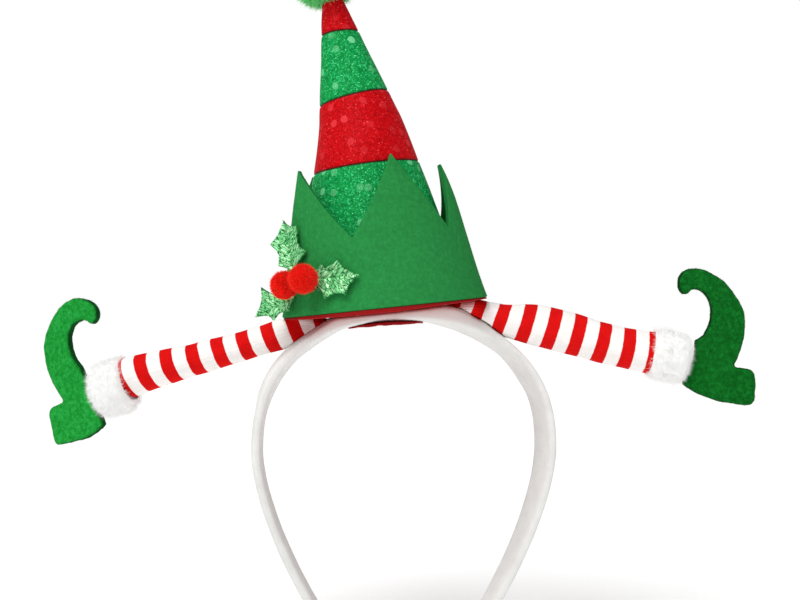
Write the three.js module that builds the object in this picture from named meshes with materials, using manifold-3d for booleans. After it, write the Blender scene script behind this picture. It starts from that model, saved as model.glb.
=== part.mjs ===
// Elf legs headband: a fabric-covered band that carries a small pointed hat, a holly sprig
// and a pair of stuffed striped legs with plush cuffs and curled felt shoes.
// Millimetres, +Z up, -Y to the front. The origin is the underside of the crown, where the head sits.
import * as THREE from "three";
import { mergeVertices } from "three/addons/utils/BufferGeometryUtils.js";
import Module from "manifold-3d";

const wasm = await Module();
wasm.setup();

const GAP = 0.3;
const MERGE = 1e-4;
const FULL_TURN = 2 * Math.PI;
const radians = THREE.MathUtils.degToRad;

// Band: outer half width and rise of the arch, and how far its arms lean in below the widest level
const BAND = { thick: 3.5, wide: 25, endWide: 14, endZ: -147, crownZ: 5.5, halfWidth: 69.2, widestZ: -57.5 };
const CROWN_FULLNESS = 2.33;
const ARM_LEAN = { reach: 19.2, overDrop: 59.5, power: 1.6 };
const BAND_EDGE_ROUNDING = 0.42;
const BAND_SIDES = 12;
const BAND_STEPS = 44;
// Shares of the band's length that taper and that round off, and what is left of its section at the very end
const BAND_END = { taper: 0.3, round: 0.03, thick: 0.4, wide: 0.35 };
const PATCH = { long: 36, wide: 27, thick: 1.7, centre: -9 };

// Hat: everything above the band faces a little to the left of the band's own front
const DRESS_TURN = radians(-7);
const HAT = { x: -8.7, lean: radians(7.7) };
const DISC = { radius: 46.8, thick: 1.6 };
// The cone bends a little to the left above a height
const CONE = { base: 40.5, height: 162, wall: 1.2, bendFrom: 86.5, bend: 0.0885 };
const CONE_STRIPS = [
  { name: "cone_green_lower", colour: 0x1c9a50, from: GAP, to: 64.6, tilt: 0 },
  { name: "cone_red_lower", colour: 0xc81420, from: 64.6, to: 97, tilt: 1.8 },
  { name: "cone_green_upper", colour: 0x1c9a50, from: 97, to: 127.6, tilt: 0 },
];
const CONE_TIP = { name: "cone_red_tip", colour: 0xc81420, from: 127.6 };
const COLLAR = { base: 47.3, slope: 0.2525, wall: 2, valley: 31.5, columns: 6, rows: 4 };
const COLLAR_POINTS = [
  { valleyAt: -92, peakAt: -57, height: 65.4, flare: 5, bulge: 1.5 },
  { valleyAt: -14, peakAt: 22, height: 66.5, flare: 1, bulge: 0 },
  { valleyAt: 57, peakAt: 90, height: 62, flare: 2.5, bulge: 1.8 },
  { valleyAt: 128, peakAt: 164, height: 66, flare: 2, bulge: 1.5 },
  { valleyAt: 200, peakAt: 234, height: 66, flare: 2, bulge: 1.5 },
];

// Holly: a flat sprig that touches the collar where its right leaf lies
const SPRIG = { at: radians(-26), height: 19 };
const LEAF = { thick: 1, fold: 1.6, curl: 1.4, spineLean: 0.06 };
const LEAF_OUTLINE = [
  { along: 0, half: 0.12 },
  { along: 0.1, half: 0.5 },
  { along: 0.22, half: 0.92 },
  { along: 0.34, half: 0.56 },
  { along: 0.44, half: 0.7 },
  { along: 0.54, half: 1 },
  { along: 0.65, half: 0.52 },
  { along: 0.78, half: 0.7 },
  { along: 0.88, half: 0.3 },
  { along: 1, half: 0.05 },
];
const LEAVES = [
  { name: "holly_leaf_top", x: -20.8, y: 2.3, lift: -0.4, points: 104, long: 24.8, half: 9.4 },
  { name: "holly_leaf_right", x: -14.4, y: -3, lift: 0.85, points: -3, long: 26.4, half: 8.8 },
  { name: "holly_leaf_bottom", x: -24, y: -8, lift: -5.6, points: 197, long: 19, half: 8.4 },
];
const BERRIES = [
  { name: "berry_right", x: -10.7, y: -3.4, lift: 8.8, radius: 7.3 },
  { name: "berry_left", x: -23.5, y: -3.2, lift: 3.4, radius: 7.1 },
];
// Pompoms: core and tuft roots as shares of the radius, and how far the tufts cover the core
const POMPOM = { core: 0.84, root: 0.5, tuft: 2.7 };
const BERRY_LOCKS = 26;
const TIP_POMPOM = { x: -7.4, y: 1, z: 158, radius: 17.6, locks: 44 };

// Legs, root to ankle: place of the middle and height of the tube, which is as deep as it is high
const LEGS = {
  left: [
    { x: -33, y: 0, z: 3, high: 12.6 },
    { x: -49.7, y: 0.5, z: -2.2, high: 13.1 },
    { x: -73.2, y: 2.5, z: -9.1, high: 13.5 },
    { x: -96.6, y: 5, z: -15.6, high: 15.2 },
    { x: -119.6, y: 8.5, z: -22.6, high: 17.6 },
    { x: -131, y: 10.8, z: -26.6, high: 18.8 },
    { x: -145.5, y: 13.7, z: -30.9, high: 18.2 },
  ],
  right: [
    { x: 16, y: 0, z: 9.2, high: 16.4 },
    { x: 34.1, y: 0, z: 6.6, high: 17.6 },
    { x: 56.6, y: -0.5, z: 1.1, high: 18.6 },
    { x: 79.9, y: -1.2, z: -4.9, high: 19 },
    { x: 103, y: -2.2, z: -10.6, high: 18.8 },
    { x: 116, y: -3, z: -13, high: 18.6 },
    { x: 129.7, y: -3.6, z: -15.7, high: 18.2 },
  ],
};
const LEG_SIDES = 12;
const LEG_STEPS = 18;
const CUFFS = {
  left: { back: 10.4, long: 14, radius: 12.4, locks: 6 },
  right: { back: 8.4, long: 12.5, radius: 10.9, locks: 4.4 },
};
const CUFF_RINGS = 4;
const CUFF_LOCKS_PER_RING = 9;
// Tufts of a cuff: radius, rows as a share of its length, root as a share of its radius, lean and fan along the leg
const CUFF_LOCK = { radius: 3.6, rows: 0.8, root: 0.8, lean: 0.25, fan: 1.6 };

// Shoes: a curled toe above a heel, as cut for each side, drawn as for the right; the ankle is at 0, 0
const SHOES = {
  left: { x: -146.2, y: 13.8, z: -30.6, yaw: radians(24), roll: radians(-9.5) },
  right: { x: 131, y: -3.8, z: -15.3, yaw: radians(-2), roll: 0 },
};
const SHOE = { thick: 5, rounding: 1.3, curveSteps: 4 };
const SHOE_START = { left: [17.5, -3.4], right: [19, -3.8] };
const SHOE_OUTLINE = {
  left: [
    { by: [21, 1.8], and: [25.2, 11.8], to: [25.1, 19.2] },
    { by: [25, 31.1], and: [12.8, 43.2], to: [4, 43.9] },
    { by: [-1, 44.6], and: [-9.1, 40.1], to: [-9.2, 36] },
    { by: [-9.1, 30.9], and: [-5.5, 29.1], to: [-4, 30.9] },
    { by: [-1.8, 35], and: [8.5, 33.5], to: [9.5, 24.4] },
    { by: [9.9, 19.7], and: [8.1, 15.3], to: [6, 12.3] },
    { by: [4.9, 11.1], and: [4, 6.3], to: [2.6, 5.9] },
    { by: [4.2, -2.7], and: [-2.5, -11], to: [-3.2, -17.2] },
    { by: [4.4, -23.4], and: [11.8, -22.4], to: [24, -23.6] },
    { by: [26, -23.6], and: [26.5, -20], to: [26.6, -17] },
    { by: [26.8, -14.4], and: [27.3, -11.9], to: [27.3, -9.8] },
    { by: [27.1, -6.5], and: [26.2, -5.1], to: [23.8, -4.9] },
  ],
  right: [
    { by: [22.5, 1.4], and: [25, 9.2], to: [24.9, 16.6] },
    { by: [24.8, 28.5], and: [12, 40.5], to: [3.2, 41.2] },
    { by: [-1.8, 41.9], and: [-5.8, 39.1], to: [-5.9, 35] },
    { by: [-5.8, 29.9], and: [-2.8, 28.1], to: [-1.3, 29.9] },
    { by: [0.9, 34], and: [8.3, 31.3], to: [9.3, 22.2] },
    { by: [9.7, 17.5], and: [7.8, 13.8], to: [5.7, 10.8] },
    { by: [4.6, 9.6], and: [3, 9], to: [1.6, 8.6] },
    { by: [3.2, 0], and: [-3.2, -5.5], to: [-3.9, -11.7] },
    { by: [3.7, -17.9], and: [13.8, -20.2], to: [26, -21.4] },
    { by: [28, -21.4], and: [29.1, -19.6], to: [29.2, -16.6] },
    { by: [29.4, -14], and: [29.4, -12], to: [29.4, -9.9] },
    { by: [29.2, -6.6], and: [28, -4.8], to: [25.6, -4.6] },
  ],
};

// Cloth, felt, foil and plush, as seen
const COLOURS = {
  band: { color: 0xe9e8e3, roughness: 0.8, metalness: 0 },
  redFelt: { color: 0xb02a26, roughness: 0.95, metalness: 0 },
  collarFelt: { color: 0x2b8f48, roughness: 0.95, metalness: 0 },
  shoeFelt: { color: 0x1f9438, roughness: 0.95, metalness: 0 },
  foil: { color: 0x73bc7a, roughness: 0.3, metalness: 0.6 },
  berry: { color: 0xe41c15, roughness: 0.95, metalness: 0 },
  pompom: { color: 0x4bc85f, roughness: 0.95, metalness: 0 },
  legCloth: { color: 0xd91311, roughness: 0.8, metalness: 0 },
  plush: { color: 0xf4f4f1, roughness: 0.95, metalness: 0 },
};

function joinedVertices(geometry) {
  const plain = geometry.clone();
  plain.deleteAttribute("normal");
  plain.deleteAttribute("uv");
  return mergeVertices(plain, MERGE);
}

// Moves every vertex of a geometry to its place on the piece.
function reshape(geometry, place) {
  const joined = joinedVertices(geometry);
  const points = joined.attributes.position;
  const vertex = new THREE.Vector3();
  for (let i = 0; i < points.count; i++) {
    const moved = place(vertex.fromBufferAttribute(points, i));
    points.setXYZ(i, moved.x, moved.y, moved.z);
  }
  return joined;
}

function solidOf(geometry, matrix = new THREE.Matrix4()) {
  const merged = joinedVertices(geometry).applyMatrix4(matrix);
  return new wasm.Manifold(
    new wasm.Mesh({
      numProp: 3,
      vertProperties: merged.attributes.position.array,
      triVerts: new Uint32Array(merged.index.array),
    }),
  );
}

// The largest body of a cut solid, as a geometry.
function geometryOf(solid) {
  const bodies = solid.decompose();
  const largest = bodies.reduce((a, b) => (a.volume() > b.volume() ? a : b));
  const mesh = largest.getMesh();
  const positions = new THREE.BufferAttribute(mesh.vertProperties, 3);
  return new THREE.BufferGeometry()
    .setAttribute("position", positions)
    .setIndex(new THREE.BufferAttribute(mesh.triVerts, 1));
}

function node(name, geometry, finish) {
  const mesh = new THREE.Mesh(geometry, new THREE.MeshStandardMaterial(finish));
  mesh.name = name;
  return mesh;
}

// A value between the rows of a table, by a column that rises from row to row.
function readTable(rows, column, at, value) {
  const last = rows.length - 1;
  const next = rows.findIndex((row, i) => i === last || rows[i + 1][column] >= at);
  const low = rows[Math.min(next, last - 1)];
  const high = rows[Math.min(next + 1, last)];
  const share = (at - low[column]) / (high[column] - low[column]);
  return THREE.MathUtils.lerp(low[value], high[value], THREE.MathUtils.clamp(share, 0, 1));
}

// A closed tube along a curve. sideOf gives its outward direction, sizeOf its height, width and corner rounding.
function tube(curve, sides, steps, sideOf, sizeOf) {
  return reshape(new THREE.CylinderGeometry(1, 1, 1, sides, steps), (vertex) => {
    const share = vertex.y + 0.5;
    const middle = curve.getPointAt(THREE.MathUtils.clamp(share, 0, 1));
    const along = curve.getTangentAt(THREE.MathUtils.clamp(share, 0, 1));
    const out = sideOf(along);
    const across = new THREE.Vector3().crossVectors(out, along);
    const { high, wide, rounding } = sizeOf(share);
    const corner = (value) => Math.sign(value) * Math.abs(value) ** rounding;
    return middle
      .addScaledVector(out, (corner(vertex.x) * high) / 2)
      .addScaledVector(across, (corner(vertex.z) * wide) / 2);
  });
}

// Band
function bandOuter(z) {
  const drop = BAND.widestZ - z;
  if (drop > 0) return BAND.halfWidth - ARM_LEAN.reach * (drop / ARM_LEAN.overDrop) ** ARM_LEAN.power;
  const rise = Math.min(1, -drop / (BAND.crownZ - BAND.widestZ));
  return BAND.halfWidth * (1 - rise ** CROWN_FULLNESS) ** (1 / CROWN_FULLNESS);
}

// The arch as a curve through its outer face, moved inwards by a depth, from the left end to the right end.
function archCurve(depth) {
  const crownSteps = 48;
  const armSteps = 24;
  const half = [];
  for (let i = 0; i <= armSteps; i++) {
    const z = THREE.MathUtils.lerp(BAND.endZ, BAND.widestZ, i / armSteps);
    half.push(new THREE.Vector3(-bandOuter(z), 0, z));
  }
  for (let i = 1; i <= crownSteps; i++) {
    const angle = (i / crownSteps) * (Math.PI / 2);
    const z = BAND.widestZ + (BAND.crownZ - BAND.widestZ) * Math.sin(angle) ** (2 / CROWN_FULLNESS);
    half.push(new THREE.Vector3(-BAND.halfWidth * Math.cos(angle) ** (2 / CROWN_FULLNESS), 0, z));
  }
  const mirrored = half
    .slice(0, -1)
    .reverse()
    .map((point) => new THREE.Vector3(-point.x, 0, point.z));
  const outer = new THREE.CatmullRomCurve3([...half, ...mirrored]);
  const steps = 90;
  const inner = [];
  for (let i = 0; i <= steps; i++) {
    const along = outer.getTangentAt(i / steps);
    inner.push(outer.getPointAt(i / steps).addScaledVector(archSide(along), -depth));
  }
  return new THREE.CatmullRomCurve3(inner);
}

function archSide(along) {
  return new THREE.Vector3(-along.z, 0, along.x).normalize();
}

function bandGeometry(grow) {
  const middle = archCurve(BAND.thick / 2);
  return tube(middle, BAND_SIDES, BAND_STEPS, archSide, (share) => {
    const toEnd = Math.min(share, 1 - share);
    const taper = THREE.MathUtils.smoothstep(toEnd, 0, BAND_END.taper);
    const tip = Math.sqrt(1 - (1 - Math.min(1, toEnd / BAND_END.round)) ** 2);
    const wide = THREE.MathUtils.lerp(BAND.endWide, BAND.wide, taper);
    return {
      high: BAND.thick * THREE.MathUtils.lerp(BAND_END.thick, 1, tip) + 2 * grow,
      wide: wide * THREE.MathUtils.lerp(BAND_END.wide, 1, tip) + 2 * grow,
      rounding: BAND_EDGE_ROUNDING,
    };
  });
}

function patchGeometry() {
  const under = archCurve(BAND.thick + GAP);
  const length = under.getLength();
  return reshape(new THREE.BoxGeometry(2, 2, PATCH.thick, 12, 6, 1), (vertex) => {
    const along = vertex.x * Math.sqrt(1 - vertex.y ** 2 / 2);
    const across = vertex.y * Math.sqrt(1 - vertex.x ** 2 / 2);
    const share = 0.5 + (PATCH.centre + (along * PATCH.long) / 2) / length;
    const point = under.getPointAt(share);
    point.addScaledVector(archSide(under.getTangentAt(share)), vertex.z - PATCH.thick / 2);
    return point.setY((across * PATCH.wide) / 2);
  });
}

// The height at which the tilted base disc clears the crown of the band.
function hatSeat() {
  const outer = archCurve(0);
  const samples = 200;
  let seat = -Infinity;
  for (let i = 0; i <= samples; i++) {
    const point = outer.getPointAt(i / samples);
    for (const y of [-BAND.wide / 2, BAND.wide / 2]) {
      const x = point.x * Math.cos(DRESS_TURN) + y * Math.sin(DRESS_TURN);
      const rise = (x - HAT.x) * Math.tan(HAT.lean);
      if (Math.abs(x - HAT.x) < DISC.radius) seat = Math.max(seat, point.z - rise);
    }
  }
  return seat + (DISC.thick + 2 * GAP) / Math.cos(HAT.lean);
}

// Hat
function turned(profile, segments) {
  const points = profile.map(([radius, height]) => new THREE.Vector2(radius, height));
  return new THREE.LatheGeometry(points, segments).rotateX(Math.PI / 2);
}

const coneRadius = (height) => CONE.base * (1 - height / CONE.height);
const coneBend = (height) => -CONE.bend * Math.max(0, height - CONE.bendFrom);

// One strip of the cone. Its lower and upper edges may tilt, higher on the right by the tilt of each seam.
function stripGeometry(strip, tiltBelow) {
  const profile = [
    [2, 0],
    [2, 1],
    [1, 1],
    [1, 0],
    [2, 0],
  ];
  return reshape(turned(profile, 40), (vertex) => {
    const reach = Math.hypot(vertex.x, vertex.y);
    const aside = vertex.x / reach;
    const low = strip.from + tiltBelow * aside;
    const high = strip.to - GAP + strip.tilt * aside;
    const height = THREE.MathUtils.lerp(low, high, vertex.z);
    const radius = coneRadius(height) - (2 - reach) * CONE.wall;
    vertex.multiplyScalar(radius / reach).setZ(height);
    return vertex.setX(vertex.x + coneBend(height));
  });
}

function tipGeometry(grow) {
  const wallRise = (CONE.wall * CONE.height) / CONE.base;
  const outside = [
    [0, CONE.height + (grow * CONE.height) / CONE.base],
    [coneRadius(CONE_TIP.from) + grow, CONE_TIP.from],
  ];
  const inside = [
    [coneRadius(CONE_TIP.from) - CONE.wall, CONE_TIP.from],
    [0, CONE.height - wallRise],
  ];
  const closed = [[0, CONE_TIP.from]];
  const upright = turned([...outside, ...(grow ? closed : inside)].reverse(), 40);
  return reshape(upright, (vertex) => vertex.setX(vertex.x + coneBend(vertex.z)));
}

// Height and flare of the collar's cut edge at a column, which runs evenly from point to point.
function collarEdge(column) {
  const perPoint = 2 * COLLAR.columns;
  const index = Math.floor(column / perPoint) % COLLAR_POINTS.length;
  const share = (column % perPoint) / COLLAR.columns;
  const point = COLLAR_POINTS[index];
  const after = COLLAR_POINTS[(index + 1) % COLLAR_POINTS.length];
  const end = after.valleyAt + (after.valleyAt < point.valleyAt ? 360 : 0);
  const climb = share <= 1 ? share : 2 - share;
  const angle =
    share <= 1
      ? THREE.MathUtils.lerp(point.valleyAt, point.peakAt, share)
      : THREE.MathUtils.lerp(point.peakAt, end, share - 1);
  return {
    angle: radians(angle),
    height: THREE.MathUtils.lerp(COLLAR.valley, point.height, climb),
    flare: point.flare * climb ** 2,
    bulge: point.bulge * climb,
  };
}

function collarGeometry() {
  const columns = 2 * COLLAR.columns * COLLAR_POINTS.length;
  const levels = Array.from({ length: COLLAR.rows + 1 }, (_, i) => i / COLLAR.rows);
  const outside = levels.map((level) => [2, level]);
  const inside = levels.map((level) => [1, level]).reverse();
  return reshape(turned([...outside, ...inside, [2, 0]], columns), (vertex) => {
    const reach = Math.hypot(vertex.x, vertex.y);
    const angle = Math.atan2(vertex.x, -vertex.y);
    const column = Math.round((((angle + FULL_TURN) % FULL_TURN) / FULL_TURN) * columns) % columns;
    const edge = collarEdge(column);
    const height = GAP + edge.height * vertex.z;
    const spring = edge.flare * vertex.z ** 2 + edge.bulge * Math.sin(Math.PI * vertex.z ** 2);
    const radius = COLLAR.base - COLLAR.slope * height + spring - (2 - reach) * COLLAR.wall;
    return new THREE.Vector3(radius * Math.sin(edge.angle), -radius * Math.cos(edge.angle), height);
  });
}

// Holly, in the sprig's own plane: x to the right, y up along the collar, z away from it
function leafGeometry(leaf) {
  const steps = LEAF_OUTLINE.length - 1;
  return reshape(new THREE.BoxGeometry(1, 2, LEAF.thick, steps, 4, 1), (vertex) => {
    const row = LEAF_OUTLINE[Math.round((vertex.x + 0.5) * steps)];
    const spine = Math.abs(vertex.y) * row.half * LEAF.spineLean;
    const fold = LEAF.fold * Math.abs(vertex.y) * row.half;
    const curl = LEAF.curl * (row.along - 0.5) ** 2;
    const x = (row.along + spine) * leaf.long;
    return new THREE.Vector3(x, vertex.y * row.half * leaf.half, vertex.z + fold + curl);
  });
}

function sprigMatrix() {
  const radius = COLLAR.base - COLLAR.slope * SPRIG.height;
  const tilt = Math.atan(COLLAR.slope);
  const right = new THREE.Vector3(Math.cos(SPRIG.at), Math.sin(SPRIG.at), 0);
  const front = new THREE.Vector3(Math.sin(SPRIG.at), -Math.cos(SPRIG.at), 0);
  const out = front.clone().multiplyScalar(Math.cos(tilt)).setZ(Math.sin(tilt));
  const up = new THREE.Vector3().crossVectors(out, right);
  const place = front.multiplyScalar(radius).setZ(SPRIG.height);
  return new THREE.Matrix4().makeBasis(right, up, out).setPosition(place);
}

// Directions spread evenly over a ball.
function spread(count) {
  const golden = Math.PI * (3 - Math.sqrt(5));
  return Array.from({ length: count }, (_, i) => {
    const z = 1 - (2 * i + 1) / count;
    const ring = Math.sqrt(1 - z * z);
    return new THREE.Vector3(ring * Math.cos(i * golden), ring * Math.sin(i * golden), z);
  });
}

// A pointed tuft that stands on a place and reaches out along a direction.
function lock(place, direction, radius, length) {
  const up = new THREE.Vector3(0, 1, 0);
  const turn = new THREE.Quaternion().setFromUnitVectors(up, direction.clone().normalize());
  const cone = new THREE.ConeGeometry(radius, length, 5).translate(0, length / 2, 0);
  return solidOf(cone.applyQuaternion(turn).translate(place.x, place.y, place.z));
}

function pompom(radius, locks) {
  const core = POMPOM.core * radius;
  const root = POMPOM.root * radius;
  const tuft = (POMPOM.tuft * core) / Math.sqrt(locks);
  return spread(locks).reduce(
    (ball, way) => ball.add(lock(way.clone().multiplyScalar(root), way, tuft, radius - root)),
    solidOf(new THREE.IcosahedronGeometry(core, 1)),
  );
}

// Legs
function legCurve(side) {
  return new THREE.CatmullRomCurve3(LEGS[side].map((row) => new THREE.Vector3(row.x, row.y, row.z)));
}

function legSide(along) {
  return new THREE.Vector3(0, 0, 1).addScaledVector(along, -along.z).normalize();
}

function legGeometry(side, grow) {
  const rows = LEGS[side].map((row) => ({ ...row, from: Math.abs(row.x) }));
  const curve = legCurve(side);
  return tube(curve, LEG_SIDES, LEG_STEPS, legSide, (share) => {
    const at = Math.abs(curve.getPointAt(THREE.MathUtils.clamp(share, 0, 1)).x);
    const high = readTable(rows, "from", at, "high") + 2 * grow;
    return { high, wide: high, rounding: 1 };
  });
}

// Shoes
function shoeGeometry(side, grow) {
  const hand = side === "left" ? -1 : 1;
  const [startX, startY] = SHOE_START[side];
  const shape = new THREE.Shape().moveTo(hand * startX, startY);
  for (const { by, and, to } of SHOE_OUTLINE[side])
    shape.bezierCurveTo(hand * by[0], by[1], hand * and[0], and[1], hand * to[0], to[1]);
  shape.closePath();
  const depth = SHOE.thick - 2 * SHOE.rounding + 2 * grow;
  return new THREE.ExtrudeGeometry(shape, {
    depth,
    bevelEnabled: true,
    bevelThickness: SHOE.rounding,
    bevelSize: SHOE.rounding,
    bevelOffset: grow - SHOE.rounding,
    bevelSegments: 2,
    curveSegments: SHOE.curveSteps,
  })
    .translate(0, 0, -depth / 2)
    .rotateX(Math.PI / 2);
}

function shoeMatrix({ x, y, z, yaw, roll }) {
  const turn = new THREE.Quaternion().setFromEuler(new THREE.Euler(0, roll, -yaw, "ZYX"));
  return new THREE.Matrix4().compose(new THREE.Vector3(x, y, z), turn, new THREE.Vector3(1, 1, 1));
}

// A plush cuff round the ankle: a barrel with tufts that lean towards the shoe.
function cuffSolid(side) {
  const cuff = CUFFS[side];
  const curve = legCurve(side);
  const share = 1 - cuff.back / curve.getLength();
  const middle = curve.getPointAt(share);
  const along = curve.getTangentAt(share);
  const up = legSide(along);
  const across = new THREE.Vector3().crossVectors(up, along);
  const frame = new THREE.Matrix4().makeBasis(up, along, across).setPosition(middle);
  const bulge = [
    [0, -0.5],
    [0.86, -0.5],
    [1, -0.2],
    [1, 0.2],
    [0.86, 0.5],
    [0, 0.5],
  ];
  const profile = bulge.map(([out, up]) => new THREE.Vector2(out * cuff.radius, up * cuff.long));
  let solid = solidOf(new THREE.LatheGeometry(profile, 16), frame);
  for (let ring = 0; ring < CUFF_RINGS; ring++) {
    const level = (ring / (CUFF_RINGS - 1) - 0.5) * CUFF_LOCK.rows;
    for (let i = 0; i < CUFF_LOCKS_PER_RING; i++) {
      const angle = ((i + (ring % 2) / 2) / CUFF_LOCKS_PER_RING) * FULL_TURN;
      const out = new THREE.Vector3(Math.cos(angle), 0, Math.sin(angle));
      const place = out.clone().multiplyScalar(CUFF_LOCK.root * cuff.radius).setY(level * cuff.long);
      const way = out.clone().setY(CUFF_LOCK.fan * level + CUFF_LOCK.lean);
      const tuft = lock(place.applyMatrix4(frame), way.transformDirection(frame), CUFF_LOCK.radius, cuff.locks);
      solid = solid.add(tuft);
    }
  }
  return solid;
}

// Assembly
const headband = new THREE.Group();
headband.add(node("alice_band", bandGeometry(0), COLOURS.band));
headband.add(node("under_patch", patchGeometry(), COLOURS.redFelt));

const dress = new THREE.Group();
dress.rotation.z = DRESS_TURN;
dress.updateMatrix();
headband.add(dress);

const hat = new THREE.Group();
hat.position.set(HAT.x, 0, hatSeat());
hat.rotation.y = -HAT.lean;
hat.updateMatrix();
dress.add(hat);

const disc = new THREE.CylinderGeometry(DISC.radius, DISC.radius, DISC.thick, 48);
hat.add(node("base_disc", disc.rotateX(Math.PI / 2).translate(0, 0, -DISC.thick / 2), COLOURS.redFelt));
let tiltBelow = 0;
for (const strip of CONE_STRIPS) {
  const cloth = { color: strip.colour, roughness: 0.55, metalness: 0 };
  hat.add(node(strip.name, stripGeometry(strip, tiltBelow), cloth));
  tiltBelow = strip.tilt;
}
const tipCloth = { color: CONE_TIP.colour, roughness: 0.55, metalness: 0 };
hat.add(node(CONE_TIP.name, tipGeometry(0), tipCloth));
hat.add(node("collar", collarGeometry(), COLOURS.collarFelt));

const ballAtTip = pompom(TIP_POMPOM.radius, TIP_POMPOM.locks).translate(TIP_POMPOM.x, TIP_POMPOM.y, TIP_POMPOM.z);
hat.add(node("tip_pompom", geometryOf(ballAtTip.subtract(solidOf(tipGeometry(GAP)))), COLOURS.pompom));

const sprig = new THREE.Group();
sprig.applyMatrix4(sprigMatrix());
hat.add(sprig);
for (const leaf of LEAVES) {
  const blade = node(leaf.name, leafGeometry(leaf), COLOURS.foil);
  blade.position.set(leaf.x, leaf.y, leaf.lift);
  blade.rotation.z = radians(leaf.points);
  sprig.add(blade);
}
for (const berry of BERRIES) {
  const ball = node(berry.name, geometryOf(pompom(berry.radius, BERRY_LOCKS)), COLOURS.berry);
  ball.position.set(berry.x, berry.y, berry.lift);
  sprig.add(ball);
}

const bandCut = solidOf(bandGeometry(GAP), dress.matrix.clone().invert());
const hatRoom = 60;
const hatCut = new THREE.CylinderGeometry(COLLAR.base + GAP, COLLAR.base + GAP, hatRoom, 60)
  .rotateX(Math.PI / 2)
  .translate(0, 0, hatRoom / 2 - DISC.thick - GAP);
const hatSolid = solidOf(hatCut, hat.matrix);
for (const side of ["left", "right"]) {
  const place = shoeMatrix(SHOES[side]);
  const shoe = node("shoe_" + side, shoeGeometry(side, 0), COLOURS.shoeFelt);
  shoe.applyMatrix4(place);
  const shoeCut = solidOf(shoeGeometry(side, GAP), place);
  const leg = solidOf(legGeometry(side, 0)).subtract(bandCut).subtract(hatSolid).subtract(shoeCut);
  const cuff = cuffSolid(side).subtract(solidOf(legGeometry(side, GAP))).subtract(shoeCut);
  dress.add(shoe);
  dress.add(node("leg_" + side, geometryOf(leg), COLOURS.legCloth));
  dress.add(node("cuff_" + side, geometryOf(cuff), COLOURS.plush));
}

export default headband;
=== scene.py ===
# Elf legs headband: the looks of the fabric band, the glitter cone with its felt collar and holly sprig,
# the stuffed striped legs, the plush cuffs and the felt shoes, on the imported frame.
# Lengths are in millimetres until a mesh is made; the row frame is in metres.
import math

import bpy
import numpy as np
from mathutils import Matrix, Vector


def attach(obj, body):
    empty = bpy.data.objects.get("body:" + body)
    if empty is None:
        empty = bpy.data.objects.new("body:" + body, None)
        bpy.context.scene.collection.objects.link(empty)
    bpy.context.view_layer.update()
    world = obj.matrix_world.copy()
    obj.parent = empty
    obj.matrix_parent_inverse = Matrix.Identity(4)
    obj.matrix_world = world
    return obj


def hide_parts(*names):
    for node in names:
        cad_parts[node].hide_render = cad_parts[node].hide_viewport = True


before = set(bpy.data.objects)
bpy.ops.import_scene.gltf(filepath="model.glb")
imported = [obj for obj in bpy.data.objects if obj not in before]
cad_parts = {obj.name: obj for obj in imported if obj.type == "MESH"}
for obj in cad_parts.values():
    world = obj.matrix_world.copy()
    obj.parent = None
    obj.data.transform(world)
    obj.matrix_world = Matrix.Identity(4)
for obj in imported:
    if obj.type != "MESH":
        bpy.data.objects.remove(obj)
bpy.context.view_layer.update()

MM = 0.001
TURN = 2 * math.pi

# Places: the hat and legs are turned on the band, and the hat leans to the left
DRESS_TURN = math.radians(-7)
DRESS = Matrix.Rotation(DRESS_TURN, 4, "Z")
HAT = DRESS @ Matrix.Translation((-8.7, 0, 7.997)) @ Matrix.Rotation(math.radians(-7.7), 4, "Y")

# Hair gap between pieces that lie against each other
GAP = 0.12

# Loose fibres on felt and brushed cloth: how far they stand up, spread and are sunk in, and their lengths
FUZZ = {"upright": 0.35, "spread": 0.6, "sunk": 0.05, "lengths": (0.3, 1.2)}

# Band
BAND = {"thick": 3.5, "wide": 25, "end_wide": 14, "end_z": -147}
ARCH = {"crown_z": 5.5, "half_width": 69.2, "widest_z": -57.5, "fullness": 2.33}
ARM_LEAN = {"reach": 19.2, "over_drop": 59.5, "power": 1.6}
ARM_FULLNESS = {"thick": 1.1, "from_z": -8, "over": 20}
BAND_CORNER = 0.58
BAND_END = {"taper": 0.3, "round": 0.03, "thick": 0.4, "wide": 0.35}
BAND_GRID = {"columns": 56, "stations": 240}
# The edge of the cover is turned over inside the band: height of its step, and its place and width across
LAP = {"high": 0.25, "at": 0.06, "over": 0.04, "inside": 0.3}
# Padding under the cover at the crown: places across the band and thickness there
PADDING = [
    (-69, 0), (-66, 0.7), (-62, 1.2), (-58, 1.4), (-52, 1.4), (-44, 1.4), (-38, 2),
    (-32, 2.8), (-20, 3), (0, 3.2), (12, 4.2), (21, 5), (26, 4.2), (30, 3),
    (35, 2.2), (41, 0.9), (45, 0.4), (50, 0),
]
PADDING_ENDS = {"from_z": -40, "over": 10}
# The cover is fuller towards the back edge inside the arch: lengths from the crown and fullness there
FULLER = [
    (-199, 0.8), (-106, 0.8), (-90, 1), (-75, 1.9), (-60, 2.6), (-48, 3.2), (-38, 2.1),
    (-27, 0), (9, 0), (22, 1.9), (31, 2.8), (43, 3.4), (52, 3.1), (70, 3),
    (82, 1.9), (106, 1.8), (199, 1.8),
]
FULLER_OUTSIDE = {"from_z": -8, "over": 10}
PATCH = {"long": 36, "wide": 27, "thick": 1.7, "area": 840, "centre": -9, "columns": 36, "rows": 28}
# The patch is pressed thin: shares of its thickness that are left, and a notch in front
PRESS = {"ends": 0.26, "middle": 0.54, "uneven": 0.1, "least": 0.24}
NOTCH = {"at": -0.22, "wide": 0.07, "deep": 0.5, "from_y": 5, "over": 6}

# Hat
DISC = {"radius": 46.8, "thick": 2.0, "sides": 120, "rings": 7, "ring": 6}
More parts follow.
